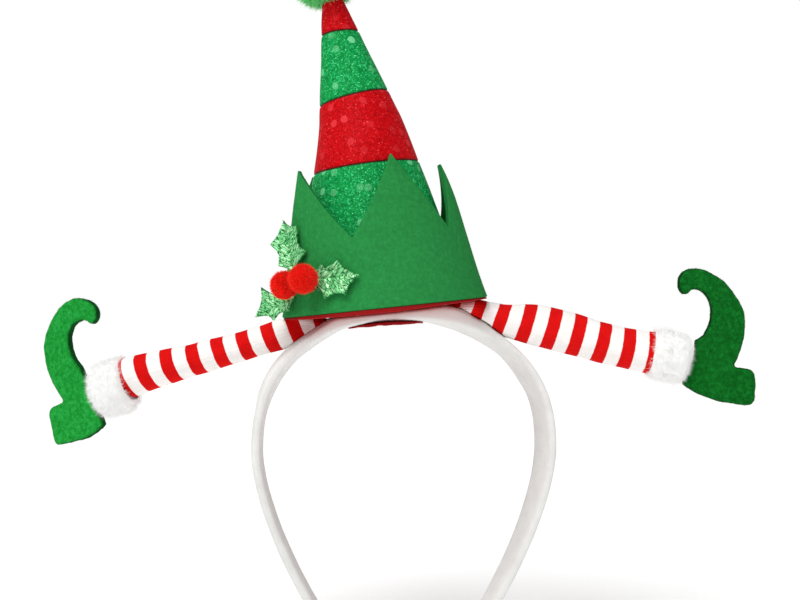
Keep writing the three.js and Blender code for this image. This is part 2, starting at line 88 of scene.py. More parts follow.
# The felt floor is pressed thin over the roots of the legs: places across the hat and thickness there
FLOOR = [(-46, 0.8), (-36, 1.4), (-18, 1.8), (5, 2.0), (25, 1.4), (45, 0.8)]
# The floor lies flatter on the band than the hat leans: slope of the difference, and the height where it ends
SETTLE = {"slope": 0.03, "height": 45}
CONE = {"base": 40.5, "height": 162, "wall": 1.2, "bend_from": 86.5, "bend": 0.0885}
CONE_GRID = {"columns": 132, "row": 1.6, "least_rows": 14}
CONE_STRIPS = [
    {"node": "cone_green_lower", "colour": "green", "low": 0.3, "high": 64.3, "tilts": (0, 0)},
    {"node": "cone_red_lower", "colour": "red", "low": 64.6, "high": 96.7, "tilts": (0, 1.8)},
    {"node": "cone_green_upper", "colour": "green", "low": 97, "high": 127.3, "tilts": (1.8, 0)},
    {"node": "cone_red_tip", "colour": "red", "low": 127.6, "high": 160.5, "tilts": (0, 0)},
]
# Strips meet edge to edge; the edges are drawn in by the thread, and the seam at the back is too
STRIP_EDGE = {"meet": 0.14, "sunk": 0.55, "wide": 0.5, "shade": 0.75, "crowd": 0.13}
BACK_SEAM = {"sunk": 0.4, "wide": 1.0}
COLLAR = {"base": 47.3, "slope": 0.2525, "wall": 2, "valley": 31.5, "foot": 0.3, "flat_radius": 42}
COLLAR_GRID = {"columns_per_point": 44, "rows": 24}
COLLAR_POINTS = [
    {"valley": -92, "peak": -57, "height": 65.4, "flare": 5, "bulge": 1.5},
    {"valley": -14, "peak": 22, "height": 66.5, "flare": 1, "bulge": 0},
    {"valley": 57, "peak": 90, "height": 62, "flare": 2.5, "bulge": 1.8},
    {"valley": 128, "peak": 164, "height": 66, "flare": 2, "bulge": 1.5},
    {"valley": 200, "peak": 234, "height": 66, "flare": 2, "bulge": 1.5},
]

# Holly sprig, in the plane that touches the collar
SPRIG = {"at": -26, "height": 19}
LEAF = {"thick": 0.9, "fold": 1.6, "curl": 1.4, "veins": 0.3, "rib": 0.5, "crumple": 0.6}
LEAF_GRID = {"columns": 112, "rows": 56}
LEAVES = [
    {"node": "holly_leaf_top", "x": -20.8, "y": 2.3, "lift": -0.4, "points": 104, "long": 24.8, "half": 9.4},
    {"node": "holly_leaf_right", "x": -14.4, "y": -3, "lift": 0.85, "points": -3, "long": 26.4, "half": 8.8},
    {"node": "holly_leaf_bottom", "x": -24, "y": -8, "lift": -5.6, "points": 197, "long": 21.6, "half": 8.8},
]
# Cut of each leaf, both edges from the stalk to the tip: spines with hollows between them
LEAF_CUT = {
    "holly_leaf_top": [
        [(0, 1), (4.8, 6.2), (9.4, 5), (15.7, 7.9), (20.2, 2.4), (24.8, -0.4)],
        [(0, -1), (5.6, -9.2), (11.4, -5.6), (18.6, -7.3), (21, -3), (24.8, -0.4)],
    ],
    "holly_leaf_right": [
        [(0, 1), (8.6, 6.3), (11.2, 4.9), (16.8, 7.8), (20.6, 3.4), (26.4, 0.6)],
        [(0, -1), (6.4, -5.4), (8.6, -5.2), (11.2, -9.4), (16.2, -6.9), (21, -8), (23.2, -3), (26.4, 0.6)],
    ],
    "holly_leaf_bottom": [
        [(0, 1), (3.4, 5.1), (8.6, 3.9), (12.2, 6.2), (15.4, 2.2), (21.6, 0)],
        [(0, -1.5), (5, -6.2), (8.6, -5.6), (13.3, -10.6), (16.2, -4.2), (21.6, 0)],
    ],
}
# How hollow the edge is between two spines
LEAF_HOLLOW = 1.5
# Pompoms: the core ends at reach less depth, as shares of the radius, and the yarn stands out of it
BERRIES = [
    {"node": "berry_right", "x": -10.7, "y": -4.3, "lift": 8.8, "radius": 7.3, "seed": 71},
    {"node": "berry_left", "x": -23.5, "y": -4.3, "lift": 3.4, "radius": 7.1, "seed": 70},
]
YARN = {"sunk": 1.4, "shortest": 1.1, "clumped": 0.35, "clump": 0.4, "spread": 0.2, "curl": 0.2}
BERRY_FLUFF = {"count": 8000, "thick": 0.08, "reach": 0.88, "depth": 0.13, "longest": 1.9}
TIP_POMPOM = {"x": -7.4, "y": 1, "z": 158, "radius": 17.6, "seed": 80}
TIP_FLUFF = {"count": 15000, "thick": 0.15, "reach": 1.05, "depth": 0.2, "longest": 1.45}

# Legs, root to ankle: middle of the tube and its height
LEGS = {
    "left": [
        (-33, 0, 3, 12.6),
        (-49.7, 0.5, -2.2, 13.1),
        (-73.2, 2.5, -9.1, 13.5),
        (-96.6, 5, -15.6, 15.2),
        (-119.6, 8.5, -22.6, 17.6),
        (-131, 10.8, -26.6, 18.8),
        (-145.5, 13.7, -30.9, 18.2),
    ],
    "right": [
        (16, 0, 9.2, 16.4),
        (34.1, 0, 6.6, 17.6),
        (56.6, -0.5, 1.1, 18.6),
        (79.9, -1.2, -4.9, 19),
        (103, -2.2, -10.6, 18.8),
        (116, -3, -13, 18.6),
        (129.7, -3.6, -15.7, 18.2),
    ],
}
LEG_GRID = {"columns": 36, "rows": 64}
# Shares of the length where the cloth starts and stops, and the flat root pressed under the hat
LEG_SPAN = {"left": (0.0, 0.965), "right": (0.01, 0.972)}
ROOT = {"flat": 0.15, "share": 0.16}
# Filling that gathers along a leg: place, then how far the top and the underside stand off there
FILLING = {
    "left": [(-145, 0.8, -0.4), (-120, 0.8, -0.4), (-60, 0.8, -0.5), (-33, 0.5, 0)],
    "right": [
        (20, -0.5, -0.6),
        (38, -2.4, -0.8),
        (45, -2, -0.8),
        (53, 0.2, -0.8),
        (60, 1.4, -0.8),
        (67, 2, -0.9),
        (80, 1.7, -0.9),
        (88, 0.7, -0.8),
        (100, 0.5, -0.6),
        (130, 0.5, -0.4),
    ],
}
# The cover is sewn a little small, and the filling swells it by this much at most
SEWN_SMALLER = 0.35
SWELL_LIMIT = 1.3
STUFFING_STEPS = 20
# Stripes of the cloth: lengths from the root, and the lean of a stripe over the height of the leg
STRIPES = {
    "left": {"pitch": 11.91, "red_at": 88.7, "slant": -0.087},
    "right": {"pitch": 11.75, "red_at": 53.0, "slant": -0.051},
}
# Distance of the seam round each leg, on a girth of 50: at the back, a little below the middle
LEG_GIRTH = 50
SEAM_AT = {"left": 0.7 * LEG_GIRTH, "right": 0.3 * LEG_GIRTH}
CUFFS = {
    "left": {"back": 10.4, "long": 14, "radius": 12.6, "dome": 2.6, "overlap": 1.5, "sag": 1.4, "pile": 2.9},
    "right": {"back": 8.4, "long": 12.5, "radius": 11.2, "dome": 2, "overlap": 4.6, "sag": 0.3, "pile": 2.5},
}
CUFF_SQUARENESS = 2 / 3.8
CUFF_GRID = {"columns": 96, "rows": 60}
CUFF_PILE = {"count": 7500, "thick": 0.06, "curl": 0.28, "tuft": 3.2, "shortest": 0.5}
CUFF_LAY = {"upright": 0.55, "clumped": 0.35, "spread": 0.3}
# How far the pile is combed towards the shoe: places from the leg to the shoe
CUFF_COMB = [(0, -0.5), (0.2, -0.1), (0.5, 0.3), (1, 0.3)]

# Shoes: the cut of each side, drawn as for the right, with the ankle at 0, 0
SHOES = {
    "left": {"x": -146.2, "y": 13.8, "z": -30.6, "yaw": 24, "roll": -9.5, "hand": -1},
    "right": {"x": 131, "y": -3.8, "z": -15.3, "yaw": -2, "roll": 0, "hand": 1},
}
SHOE = {"thick": 5, "rounding": 1.3, "warp": 0.5, "warp_over": 17, "voxel": 0.75}
SHOE_CUT = {
    "left": [
        ((17.5, -3.4), (21, 1.8)),
        ((25.2, 11.8), (25.1, 19.2), (25, 31.1)),
        ((12.8, 43.2), (4, 43.9), (-1, 44.6)),
        ((-9.1, 40.1), (-9.2, 36), (-9.1, 30.9)),
        ((-5.5, 29.1), (-4, 30.9), (-1.8, 35)),
        ((8.5, 33.5), (9.5, 24.4), (9.9, 19.7)),
        ((8.1, 15.3), (6, 12.3), (4.9, 11.1)),
        ((4, 6.3), (2.6, 5.9), (4.2, -2.7)),
        ((-2.5, -11), (-3.2, -17.2), (4.4, -23.4)),
        ((11.8, -22.4), (24, -23.6), (26, -23.6)),
        ((26.5, -20), (26.6, -17), (26.8, -14.4)),
        ((27.3, -11.9), (27.3, -9.8), (27.1, -6.5)),
        ((26.2, -5.1), (23.8, -4.9)),
    ],
    "right": [
        ((19, -3.8), (22.5, 1.4)),
        ((25, 9.2), (24.9, 16.6), (24.8, 28.5)),
        ((12, 40.5), (3.2, 41.2), (-1.8, 41.9)),
        ((-5.8, 39.1), (-5.9, 35), (-5.8, 29.9)),
        ((-2.8, 28.1), (-1.3, 29.9), (0.9, 34)),
        ((8.3, 31.3), (9.3, 22.2), (9.7, 17.5)),
        ((7.8, 13.8), (5.7, 10.8), (4.6, 9.6)),
        ((3, 9), (1.6, 8.6), (3.2, 0)),
        ((-3.2, -5.5), (-3.9, -11.7), (3.7, -17.9)),
        ((13.8, -20.2), (26, -21.4), (28, -21.4)),
        ((29.1, -19.6), (29.2, -16.6), (29.4, -14)),
        ((29.4, -12), (29.4, -9.9), (29.2, -6.6)),
        ((28, -4.8), (25.6, -4.6)),
    ],
}

# Studio: the camera stands in front of the hat, and a pixel is this wide there
CAMERA = {"x": -1.84, "distance": 560, "z": 11.5, "pixel": 0.46, "pixels": 800, "sensor": 36}
GROUND = {"size": 12, "z": -147.5}
SKY = {"seen": 1.0, "light": 0.29}
LAMPS = [
    ("SUN", "sky_light", (-0.4, -0.42, 0.95), math.radians(40), 2.3),
    ("AREA", "softbox", (-0.5, -0.7, 0.55), 0.4, 1.0),
    ("AREA", "fill_light", (0.6, -0.5, 0.05), 0.5, 0.4),
]


# Colours and materials
def linear(colour):
    """A hex sRGB colour as linear RGBA."""
    parts = [int(colour[i : i + 2], 16) / 255 for i in (1, 3, 5)]
    return [p / 12.92 if p <= 0.04045 else ((p + 0.055) / 1.055) ** 2.4 for p in parts] + [1]


def connect(tree, node, inputs):
    """Sets a node's inputs: each is a value, an output, or a node that gives its first output."""
    for key, value in inputs.items():
        if isinstance(value, bpy.types.Node):
            value = next(output for output in value.outputs if output.enabled)
        if isinstance(value, bpy.types.NodeSocket):
            tree.links.new(value, node.inputs[key])
        else:
            node.inputs[key].default_value = value


def add(tree, kind, inputs=None, stops=(), **settings):
    """Adds a shader node with its settings and links; stops are places and hex colours on a ramp."""
    node = tree.nodes.new("ShaderNode" + kind)
    for name, value in settings.items():
        setattr(node, name, value)
    connect(tree, node, inputs or {})
    for index, (position, colour) in enumerate(stops):
        elements = node.color_ramp.elements
        element = elements[index] if index < len(elements) else elements.new(position)
        element.position = position
        element.color = linear(colour)
    return node


def per_mm(size):
    """The scale of a pattern on metre coordinates whose features are this many millimetres."""
    return 1 / (size * MM)


def new_material(name, **surface):
    """A material with its Principled shader set to plain values, and its coordinates."""
    material = bpy.data.materials.new(name)
    material.use_nodes = True
    tree = material.node_tree
    shader = tree.nodes["Principled BSDF"]
    plain = {key.replace("_", " ").title().replace("Ior", "IOR"): value for key, value in surface.items()}
    connect(tree, shader, plain)
    where = add(tree, "TexCoord")
    return material, tree, shader, where


# Needle felt: wool-like fibres pressed flat, so it is matt, mottled at the size of fibre clumps and a little
# furry at grazing light. The clumps are drawn at 0.8 and 1.9 mm, coarser than real, so that they show.
# The cut coordinate says how far a face is part of a cut edge, where the darker edge colour is painted shade.
def felt(name, dark, middle, light, edge):
    material, tree, shader, where = new_material(name, roughness=0.95, ior=1.45, specular_ior_level=0.08)
    place = where.outputs["Object"]
    clumps = add(tree, "TexNoise", {"Vector": place, "Scale": per_mm(0.8), "Detail": 5, "Roughness": 0.62})
    patches = add(tree, "TexNoise", {"Vector": place, "Scale": per_mm(1.9), "Detail": 2, "Roughness": 0.5})
    mixed = add(tree, "Math", {0: clumps, 1: patches}, operation="ADD")
    half = add(tree, "Math", {0: mixed, 1: 0.5}, operation="MULTIPLY")
    face = add(tree, "ValToRGB", {"Fac": half}, stops=[(0.35, dark), (0.5, middle), (0.65, light)])
    # Painted shade: the cut sides of the felt take the darker edge colour
    cut = add(tree, "SeparateXYZ", {"Vector": where.outputs["UV"]})
    colour = add(tree, "Mix", {"Factor": cut, "A": face, "B": linear(edge)}, data_type="RGBA")
    hair = {"Vector": place, "Scale": per_mm(0.7), "Detail": 6, "Roughness": 0.7, "Distortion": 1.2}
    fibre = add(tree, "TexNoise", hair)
    bump = add(tree, "Bump", {"Height": fibre, "Strength": 0.5, "Distance": 0.35 * MM})
    connect(tree, shader, {"Base Color": colour, "Normal": bump})
    return material


# Glitter lame: knitted cloth with fine foil flakes and pressed round foil dots. The flakes sparkle singly, so
# each has its own tilt, and its brightness is painted: flakes painted dimmer or brighter as painted
# reflection, a few near white as painted glints. The fold attribute marks the edges sewn in, which lie in
# shade, painted darker there as painted shade. Flakes are drawn at 0.5 mm, coarser than real, so that they
# show.
def glitter_cloth(name, deep, middle, bright, painted_sparkle, painted_glint, dot, seam):
    material, tree, shader, where = new_material(name, ior=1.5, specular_ior_level=0.06)
    cut = where.outputs["UV"]
    base = add(tree, "TexNoise", {"Vector": cut, "Scale": per_mm(2.2), "Detail": 5, "Roughness": 0.7})
    cloth = add(tree, "ValToRGB", {"Fac": base}, stops=[(0.3, deep), (0.5, middle), (0.72, bright)])
    flakes = add(tree, "TexVoronoi", {"Vector": cut, "Scale": per_mm(0.48)}, voronoi_dimensions="2D")
    chance = add(tree, "SeparateColor", {"Color": flakes.outputs["Color"]})
    dull = {"Value": chance.outputs["Green"], "From Min": 0.75, "From Max": 1.0, "To Max": 0.55}
    dim = add(tree, "MapRange", dull)
    lit = add(tree, "MapRange", {"Value": chance, "From Min": 0.7, "From Max": 1.0})
    facing = add(tree, "MapRange", {"Value": chance, "From Min": 0.965, "From Max": 1.0})
    spacing = {"Vector": cut, "Scale": per_mm(9.5), "Randomness": 0.75}
    spots = add(tree, "TexVoronoi", spacing, voronoi_dimensions="2D")
    spot = add(tree, "SeparateColor", {"Color": spots.outputs["Color"]})
    keep = add(tree, "Math", {0: spot.outputs["Blue"], 1: 0.3}, operation="GREATER_THAN")
    disc = add(tree, "MapRange", {"Value": spots, "From Min": 0.2, "From Max": 0.165})
    pressed_dot = add(tree, "Math", {0: disc, 1: keep}, operation="MULTIPLY")
    rare = add(tree, "Math", {0: spot.outputs["Green"], 1: 3}, operation="POWER")
    strength = add(tree, "MapRange", {"Value": rare, "To Min": 0.25, "To Max": 0.8})
    shown = add(tree, "Math", {0: pressed_dot, 1: strength}, operation="MULTIPLY")
    fold = add(tree, "Attribute", attribute_name="fold").outputs["Fac"]
    colour = cloth
    # Painted reflection on the flakes, dimmer, brighter and a few glints; the pressed dots; painted shade at
    # the sewn edges
    for share, over in ((dim, deep), (lit, painted_sparkle), (facing, painted_glint), (shown, dot), (fold, seam)):
        colour = add(tree, "Mix", {"Factor": share, "A": colour, "B": linear(over)}, data_type="RGBA")
    gloss = add(tree, "MapRange", {"Value": lit, "To Min": 0.55, "To Max": 0.22})
    tilt = add(tree, "Math", {0: chance.outputs["Blue"], 1: pressed_dot}, operation="ADD")
    bump = add(tree, "Bump", {"Height": tilt, "Strength": 0.55, "Distance": 0.3 * MM})
    connect(tree, shader, {"Base Color": colour, "Roughness": gloss, "Normal": bump})
    return material


# Embossed foil on cloth: a thin metallised film, crinkled by the press in folds that run out from the rib, so
# it mirrors in small facets; their tones from pale mint to dark green are painted reflection, and the creases
# between them are painted dark as painted shade. The rim attribute marks the darker cut edge.
def leaf_foil():
    material, tree, shader, where = new_material("leaf_foil_embossed", roughness=0.5, metallic=0.45)
    flat = where.outputs["UV"]
    cut = add(tree, "SeparateXYZ", {"Vector": flat})
    aside = add(tree, "Math", {0: cut.outputs["Y"]}, operation="ABSOLUTE")
    lean = add(tree, "Math", {0: aside, 1: -0.9, 2: cut.outputs["X"]}, operation="MULTIPLY_ADD")
    chevron = add(tree, "CombineXYZ", {"X": lean, "Y": cut.outputs["Y"]})
    stretched = add(tree, "Mapping", {"Vector": chevron, "Scale": (1, 0.62, 1)})
    warp = add(tree, "TexNoise", {"Vector": flat, "Scale": per_mm(2.8), "Detail": 3})
    pull = {0: warp.outputs["Color"], 1: (1.8 * MM, 1.8 * MM, 0), 2: stretched}
    bent = add(tree, "VectorMath", pull, operation="MULTIPLY_ADD")
    crinkle = {"Vector": bent, "Scale": per_mm(2.0)}
    folds = add(tree, "TexVoronoi", crinkle, voronoi_dimensions="2D")
    creases = add(tree, "TexVoronoi", crinkle, feature="DISTANCE_TO_EDGE", voronoi_dimensions="2D")
    # Painted shade: the creases between facets are painted dark
    crease_painted_shade = add(tree, "MapRange", {"Value": creases, "From Max": 0.1})
    facet = add(tree, "SeparateColor", {"Color": folds.outputs["Color"]})
    bright = add(tree, "Math", {0: facet, 1: 0.55, 2: 0.45}, operation="MULTIPLY_ADD")
    tone = add(tree, "Math", {0: bright, 1: crease_painted_shade}, operation="MULTIPLY")
    edge = add(tree, "Attribute", attribute_name="rim").outputs["Fac"]
    lit = add(tree, "MapRange", {"Value": edge, "To Min": 1.0, "To Max": 0.5})
    rimmed = add(tree, "Math", {0: tone, 1: lit}, operation="MULTIPLY")
    fine = {"Vector": stretched, "Scale": per_mm(0.9), "Detail": 3, "Roughness": 0.6}
    grain = add(tree, "TexNoise", fine)
    cracks = add(tree, "MapRange", {"Value": grain, "From Min": 0.4, "From Max": 0.48, "To Min": 0.12})
    shown = add(tree, "Math", {0: rimmed, 1: cracks}, operation="MULTIPLY")
    stops = [(0.0, "#064a1c"), (0.22, "#259246"), (0.48, "#6fd083"), (0.95, "#b4f0b6")]
    colour = add(tree, "ValToRGB", {"Fac": shown}, stops=stops)
    bump = add(tree, "Bump", {"Height": tone, "Strength": 0.6, "Distance": 0.3 * MM})
    connect(tree, shader, {"Base Color": colour, "Normal": bump})
    return material


# Acrylic pile: cut synthetic fibres, soft and matt, darker at the root where light is lost between them.
# White pile also glows at grazing light, as its clear fibre ends catch it.
def pile(name, root, middle, tip, glow):
    surface = {"roughness": 0.85, "ior": 1.45, "specular_ior_level": 0.12, "sheen_weight": glow}
    material, tree, shader, where = new_material(name, **surface)
    fibre = add(tree, "SeparateXYZ", {"Vector": where.outputs["UV"]})
    chance = {0: fibre.outputs["Y"], 1: 0.35, 2: fibre.outputs["X"]}
    varied = add(tree, "Math", chance, operation="MULTIPLY_ADD")
    shifted = add(tree, "Math", {0: varied, 1: 0.12}, operation="SUBTRACT")
    colour = add(tree, "ValToRGB", {"Fac": shifted}, stops=[(0.0, root), (0.4, middle), (1.0, tip)])
    connect(tree, shader, {"Base Color": colour})
    return material


# A wave pattern of scale 1 repeats about every 1 / 6.3 of a unit
WAVES_PER_UNIT = 6.3


# Jersey knit: fine cotton loops in rows, printed in stripes, matt, sewn into a tube with one sunk seam. The
# loops are drawn at 1 mm, coarser than real, so that they show.
def striped_jersey(side):
    name = "striped_jersey_" + side
    material, tree, shader, where = new_material(name, roughness=0.85, ior=1.45, specular_ior_level=0.08)
    place, flat = where.outputs["Object"], where.outputs["UV"]
    stripe = STRIPES[side]
    pitch = stripe["pitch"] * MM
    drift_wide = 0.6
    wobble = add(tree, "TexNoise", {"Vector": place, "Scale": per_mm(3), "Detail": 3})
    cut = add(tree, "SeparateXYZ", {"Vector": flat})
    drift = add(tree, "Math", {0: wobble, 1: drift_wide * MM, 2: cut}, operation="MULTIPLY_ADD")
    first_red = (stripe["red_at"] + drift_wide / 2) * MM
    phase = add(tree, "Math", {0: drift, 1: first_red}, operation="SUBTRACT")
    distance = add(tree, "Math", {0: phase, 1: pitch / 2}, operation="PINGPONG")
    red = add(tree, "MapRange", {"Value": distance, "From Min": 0.258 * pitch, "From Max": 0.238 * pitch})
    mottle = add(tree, "TexNoise", {"Vector": place, "Scale": per_mm(4), "Detail": 4})
    reds = add(tree, "ValToRGB", {"Fac": mottle}, stops=[(0.3, "#cd0b0c"), (0.7, "#dc1110")])
    whites = add(tree, "ValToRGB", {"Fac": mottle}, stops=[(0.3, "#f1edea"), (0.7, "#f8f5f2")])
    colour = add(tree, "Mix", {"Factor": red, "A": whites, "B": reds}, data_type="RGBA")
    knit = {"Scale": per_mm(1) / WAVES_PER_UNIT, "Distortion": 2.2, "Detail": 2, "Detail Scale": 3}
    loops = add(tree, "TexWave", {"Vector": flat, **knit}, bands_direction="Y").outputs["Fac"]
    bump = add(tree, "Bump", {"Height": loops, "Strength": 0.4, "Distance": 0.25 * MM})
    away = add(tree, "Math", {0: cut.outputs["Y"], 1: SEAM_AT[side] * MM}, operation="SUBTRACT")
    from_seam = add(tree, "Math", {0: away}, operation="ABSOLUTE")
    sunk = {"Value": from_seam, "From Max": 1.2 * MM}
    groove = add(tree, "MapRange", sunk, interpolation_type="SMOOTHSTEP")
    sewn = add(tree, "Bump", {"Height": groove, "Normal": bump, "Strength": 0.8, "Distance": 0.9 * MM})
    connect(tree, shader, {"Base Color": colour, "Normal": sewn})
    return material


# Brushed polyester cover: woven cloth pulled round the band and raised on its face, so white, matt and a
# little cloudy, with a fine thread line. Threads are drawn at 0.9 mm, coarser than real, so that they show.
def band_cloth():
    surface = {"roughness": 0.75, "ior": 1.45, "specular_ior_level": 0.25, "sheen_weight": 0.05}
    material, tree, shader, where = new_material("brushed_band_cloth", **surface)
    cloud = add(tree, "TexNoise", {"Vector": where.outputs["Object"], "Scale": per_mm(7), "Detail": 4})
    stops = [(0.3, "#dcdcd9"), (0.55, "#e1e1de"), (0.75, "#e6e6e3")]
    colour = add(tree, "ValToRGB", {"Fac": cloud}, stops=stops)
    weave = {"Scale": per_mm(0.9) / WAVES_PER_UNIT, "Distortion": 2.5, "Detail": 2}
    flat = where.outputs["UV"]
    threads = add(tree, "TexWave", {"Vector": flat, **weave}, bands_direction="X").outputs["Fac"]
    bump = add(tree, "Bump", {"Height": threads, "Strength": 0.2, "Distance": 0.2 * MM})
    connect(tree, shader, {"Base Color": colour, "Normal": bump})
    return material


# Light table: opal acrylic sheet, sanded matt and lit from below, so that shadows on it stay faint.
def light_table():
    surface = {"roughness": 0.9, "emission_color": (1, 1, 1, 1), "emission_strength": 0.2}
    material, tree, shader, where = new_material("opal_acrylic_light_table", **surface)
    grain = add(tree, "TexNoise", {"Vector": where.outputs["Object"], "Scale": per_mm(40), "Detail": 2})
    colour = add(tree, "ValToRGB", {"Fac": grain}, stops=[(0.3, "#fefefe"), (0.7, "#ffffff")])
    connect(tree, shader, {"Base Color": colour})
    return material


# Each: deep, middle, bright, painted sparkle, painted glint, pressed dot, and painted shade at the sewn edges
GLITTER_GREENS = ("#05652f", "#0a9143", "#16a852", "#3cd47e", "#6fe6a4", "#84e8a8", "#0a2c18")
GLITTER_REDS = ("#94020a", "#c1030c", "#d2050f", "#e71d26", "#f0484d", "#e83c44", "#3a0708")
COLLAR_FELT = felt("needle_felt_collar_green", "#247c3e", "#288641", "#2d9147", "#1d6c34")
SHOE_FELTS = {
    "left": felt("needle_felt_shoe_green", "#0e7d26", "#1d9636", "#2faa4b", "#0c441b"),
    # The right shoe's felt is a darker copy of the left shoe's felt, as painted shade
    "right": felt("needle_felt_shoe_green_painted_shade", "#065015", "#0b631d", "#147a2a", "#063512"),
}
RED_FELT = felt("needle_felt_red", "#a01c1a", "#b92422", "#cc342e", "#94181a")
GLITTER = {
    "green": glitter_cloth("glitter_lame_green", *GLITTER_GREENS),
    "red": glitter_cloth("glitter_lame_red", *GLITTER_REDS),
}
LEAF_FOIL = leaf_foil()
BERRY_PILE = pile("acrylic_pile_red", "#ea120a", "#ff2014", "#ff4332", 0.0)
POMPOM_PILE = pile("acrylic_pile_light_green", "#3ab052", "#58d470", "#93eca0", 0.05)
WHITE_PILE = pile("acrylic_pile_white", "#fafaf8", "#fdfdfc", "#ffffff", 0.6)
BAND_CLOTH = band_cloth()
JERSEY = {side: striped_jersey(side) for side in LEGS}


# Shaping
def placed(points, matrix):
    """Points in a frame of the object, in the row frame."""
    m = np.array(matrix)
    return points @ m[:3, :3].T + m[:3, 3]


def smooth(value):
    value = np.clip(value, 0, 1)
    return value * value * (3 - 2 * value)


def unit(vectors):
    return vectors / np.maximum(np.linalg.norm(vectors, axis=-1, keepdims=True), 1e-9)


def hump(distance, wide):
    """1 at no distance, fading to nothing over a few widths."""
    return np.exp(-((distance / wide) ** 2))


def between(x, rows, column=1):
    """A column of a table at places between its rows, which start with their places."""
    table = np.array(rows, dtype=float)
    return np.interp(x, table[:, 0], table[:, column])


def ripple(points, size, seed):
    """A smooth uneven value from -1 to 1 at points, with features of about this size."""
    rng = np.random.default_rng(seed)
    total = np.zeros(len(points))
    for _ in range(7):
        way = unit(rng.normal(size=3)) * TURN / (size * rng.uniform(0.8, 1.9))
        total += np.sin(points @ way + rng.uniform(0, TURN))
    return total / 4


def pick(piece, *others):
    """Selects pieces, the first as the active one."""
    bpy.ops.object.select_all(action="DESELECT")
    for each in (piece, *others):
        each.select_set(True)
    bpy.context.view_layer.objects.active = piece


def named(name):
    """The piece that was just added, under its own name."""
    piece = bpy.context.object
    piece.name = piece.data.name = name
    return piece


def points_of(piece):
    """Places of a piece's points in millimetres."""
    return vectors_of(piece, "co") / MM


def vectors_of(piece, kind):
    values = np.empty(len(piece.data.vertices) * 3)
    piece.data.vertices.foreach_get(kind, values)
    return values.reshape(-1, 3)


def move_to(piece, points):
    piece.data.vertices.foreach_set("co", (points * MM).ravel())
    piece.data.update()


def set_cut(mesh, coordinates):
    """Gives every corner the coordinates of its vertex on the cut cloth or fibre."""
    corners = np.empty(len(mesh.loops), dtype=int)
    mesh.loops.foreach_get("vertex_index", corners)
    layer = mesh.uv_layers.active or mesh.uv_layers.new(name="UVMap")
    layer.data.foreach_set("uv", coordinates[corners].ravel())


def grid_piece(name, columns, rows, place, flat, marks=None):
    """A grid laid over a surface: place gives points, flat the cloth's coordinates, marks named values."""
    bpy.ops.object.select_all(action="DESELECT")
    bpy.ops.mesh.primitive_grid_add(x_subdivisions=columns, y_subdivisions=rows, size=2)
    piece = named(name)
    u, v = (vectors_of(piece, "co")[:, :2].T + 1) / 2
    move_to(piece, place(u, v))
    set_cut(piece.data, flat(u, v) * MM)
    for mark, value in (marks or {}).items():
        piece.data.attributes.new(mark, "FLOAT", "POINT").data.foreach_set("value", value(u, v))
    return piece


def seal(piece, closed=False):
    """Joins the edges that meet; a closed piece has its ends filled and its faces turned outwards."""
    pick(piece)
    bpy.ops.object.mode_set(mode="EDIT")
    bpy.ops.mesh.select_all(action="SELECT")
    bpy.ops.mesh.remove_doubles(threshold=0.002 * MM)
    if closed:
        bpy.ops.mesh.fill_holes(sides=0)
        bpy.ops.mesh.normals_make_consistent(inside=False)
    bpy.ops.object.mode_set(mode="OBJECT")


def shape_with(piece, kind, **settings):
    """Adds a modifier and applies it."""
    bpy.context.view_layer.objects.active = piece
    modifier = piece.modifiers.new(kind.lower(), kind)
    for name, value in settings.items():
        setattr(modifier, name, value)
    bpy.ops.object.modifier_apply(modifier=modifier.name)


def round_edges(piece, width, segments, sharper_than):
    limit = math.radians(sharper_than)
    shape_with(piece, "BEVEL", width=width * MM, segments=segments, limit_method="ANGLE", angle_limit=limit)


def mark_shaded_cut_edges(piece, thickness_way):
    """Marks how far each point's face is a cut edge, where the felt takes painted shade: 0 on the faces of
    the felt and 1 on its sides.
    """
    facing = np.abs((unit(vectors_of(piece, "normal")) * thickness_way).sum(1))
    sides = smooth((0.75 - facing) / 0.5)
    set_cut(piece.data, np.stack([sides, np.zeros(len(sides))], 1))


def join(piece, *others):
    pick(piece, *others)
    bpy.ops.object.join()
    return piece


BENT_FIBRE = {
    "share": [0, 0, 0, 0.55, 0.55, 0.55, 1],
    "faces": [(0, 1, 4), (0, 4, 3), (1, 2, 5), (1, 5, 4), (2, 0, 3), (2, 3, 5), (3, 4, 6), (4, 5, 6),
              (5, 3, 6)],
}
STRAIGHT_FIBRE = {"share": [0, 0, 0, 1], "faces": [(0, 1, 3), (1, 2, 3), (2, 0, 3)]}


def fibres(name, roots, ways, lengths, thick, curl, seed, shape=BENT_FIBRE):
    """Three-sided tapering fibres in one mesh, each with its share along and a chance of its own."""
    rng = np.random.default_rng(seed)
    count = len(roots)
    share = np.array(shape["share"], dtype=float)
    ways = unit(ways)
    side = unit(np.cross(ways, rng.normal(size=(count, 3))))
    other = np.cross(ways, side)
    sway = rng.normal(size=(count, 3)) * curl
    points = np.empty((count, len(share), 3))
    for k, along in enumerate(share):
        middle = roots + (ways * along + sway * along**2) * lengths[:, None]
        angle = TURN * (k % 3) / 3
        width = thick * (1 - 0.3 * along) * (along < 1)
        points[:, k] = middle + (side * math.cos(angle) + other * math.sin(angle)) * width
    faces = (np.array(shape["faces"])[None] + len(share) * np.arange(count)[:, None, None]).reshape(-1, 3)
    mesh = bpy.data.meshes.new(name)
    mesh.from_pydata((points.reshape(-1, 3) * MM).tolist(), [], faces.tolist())
    chance = np.repeat(rng.uniform(0, 1, count), len(share))
    set_cut(mesh, np.stack([np.tile(share, count), chance], 1))
    piece = bpy.data.objects.new(name, mesh)
    bpy.context.collection.objects.link(piece)
    return piece


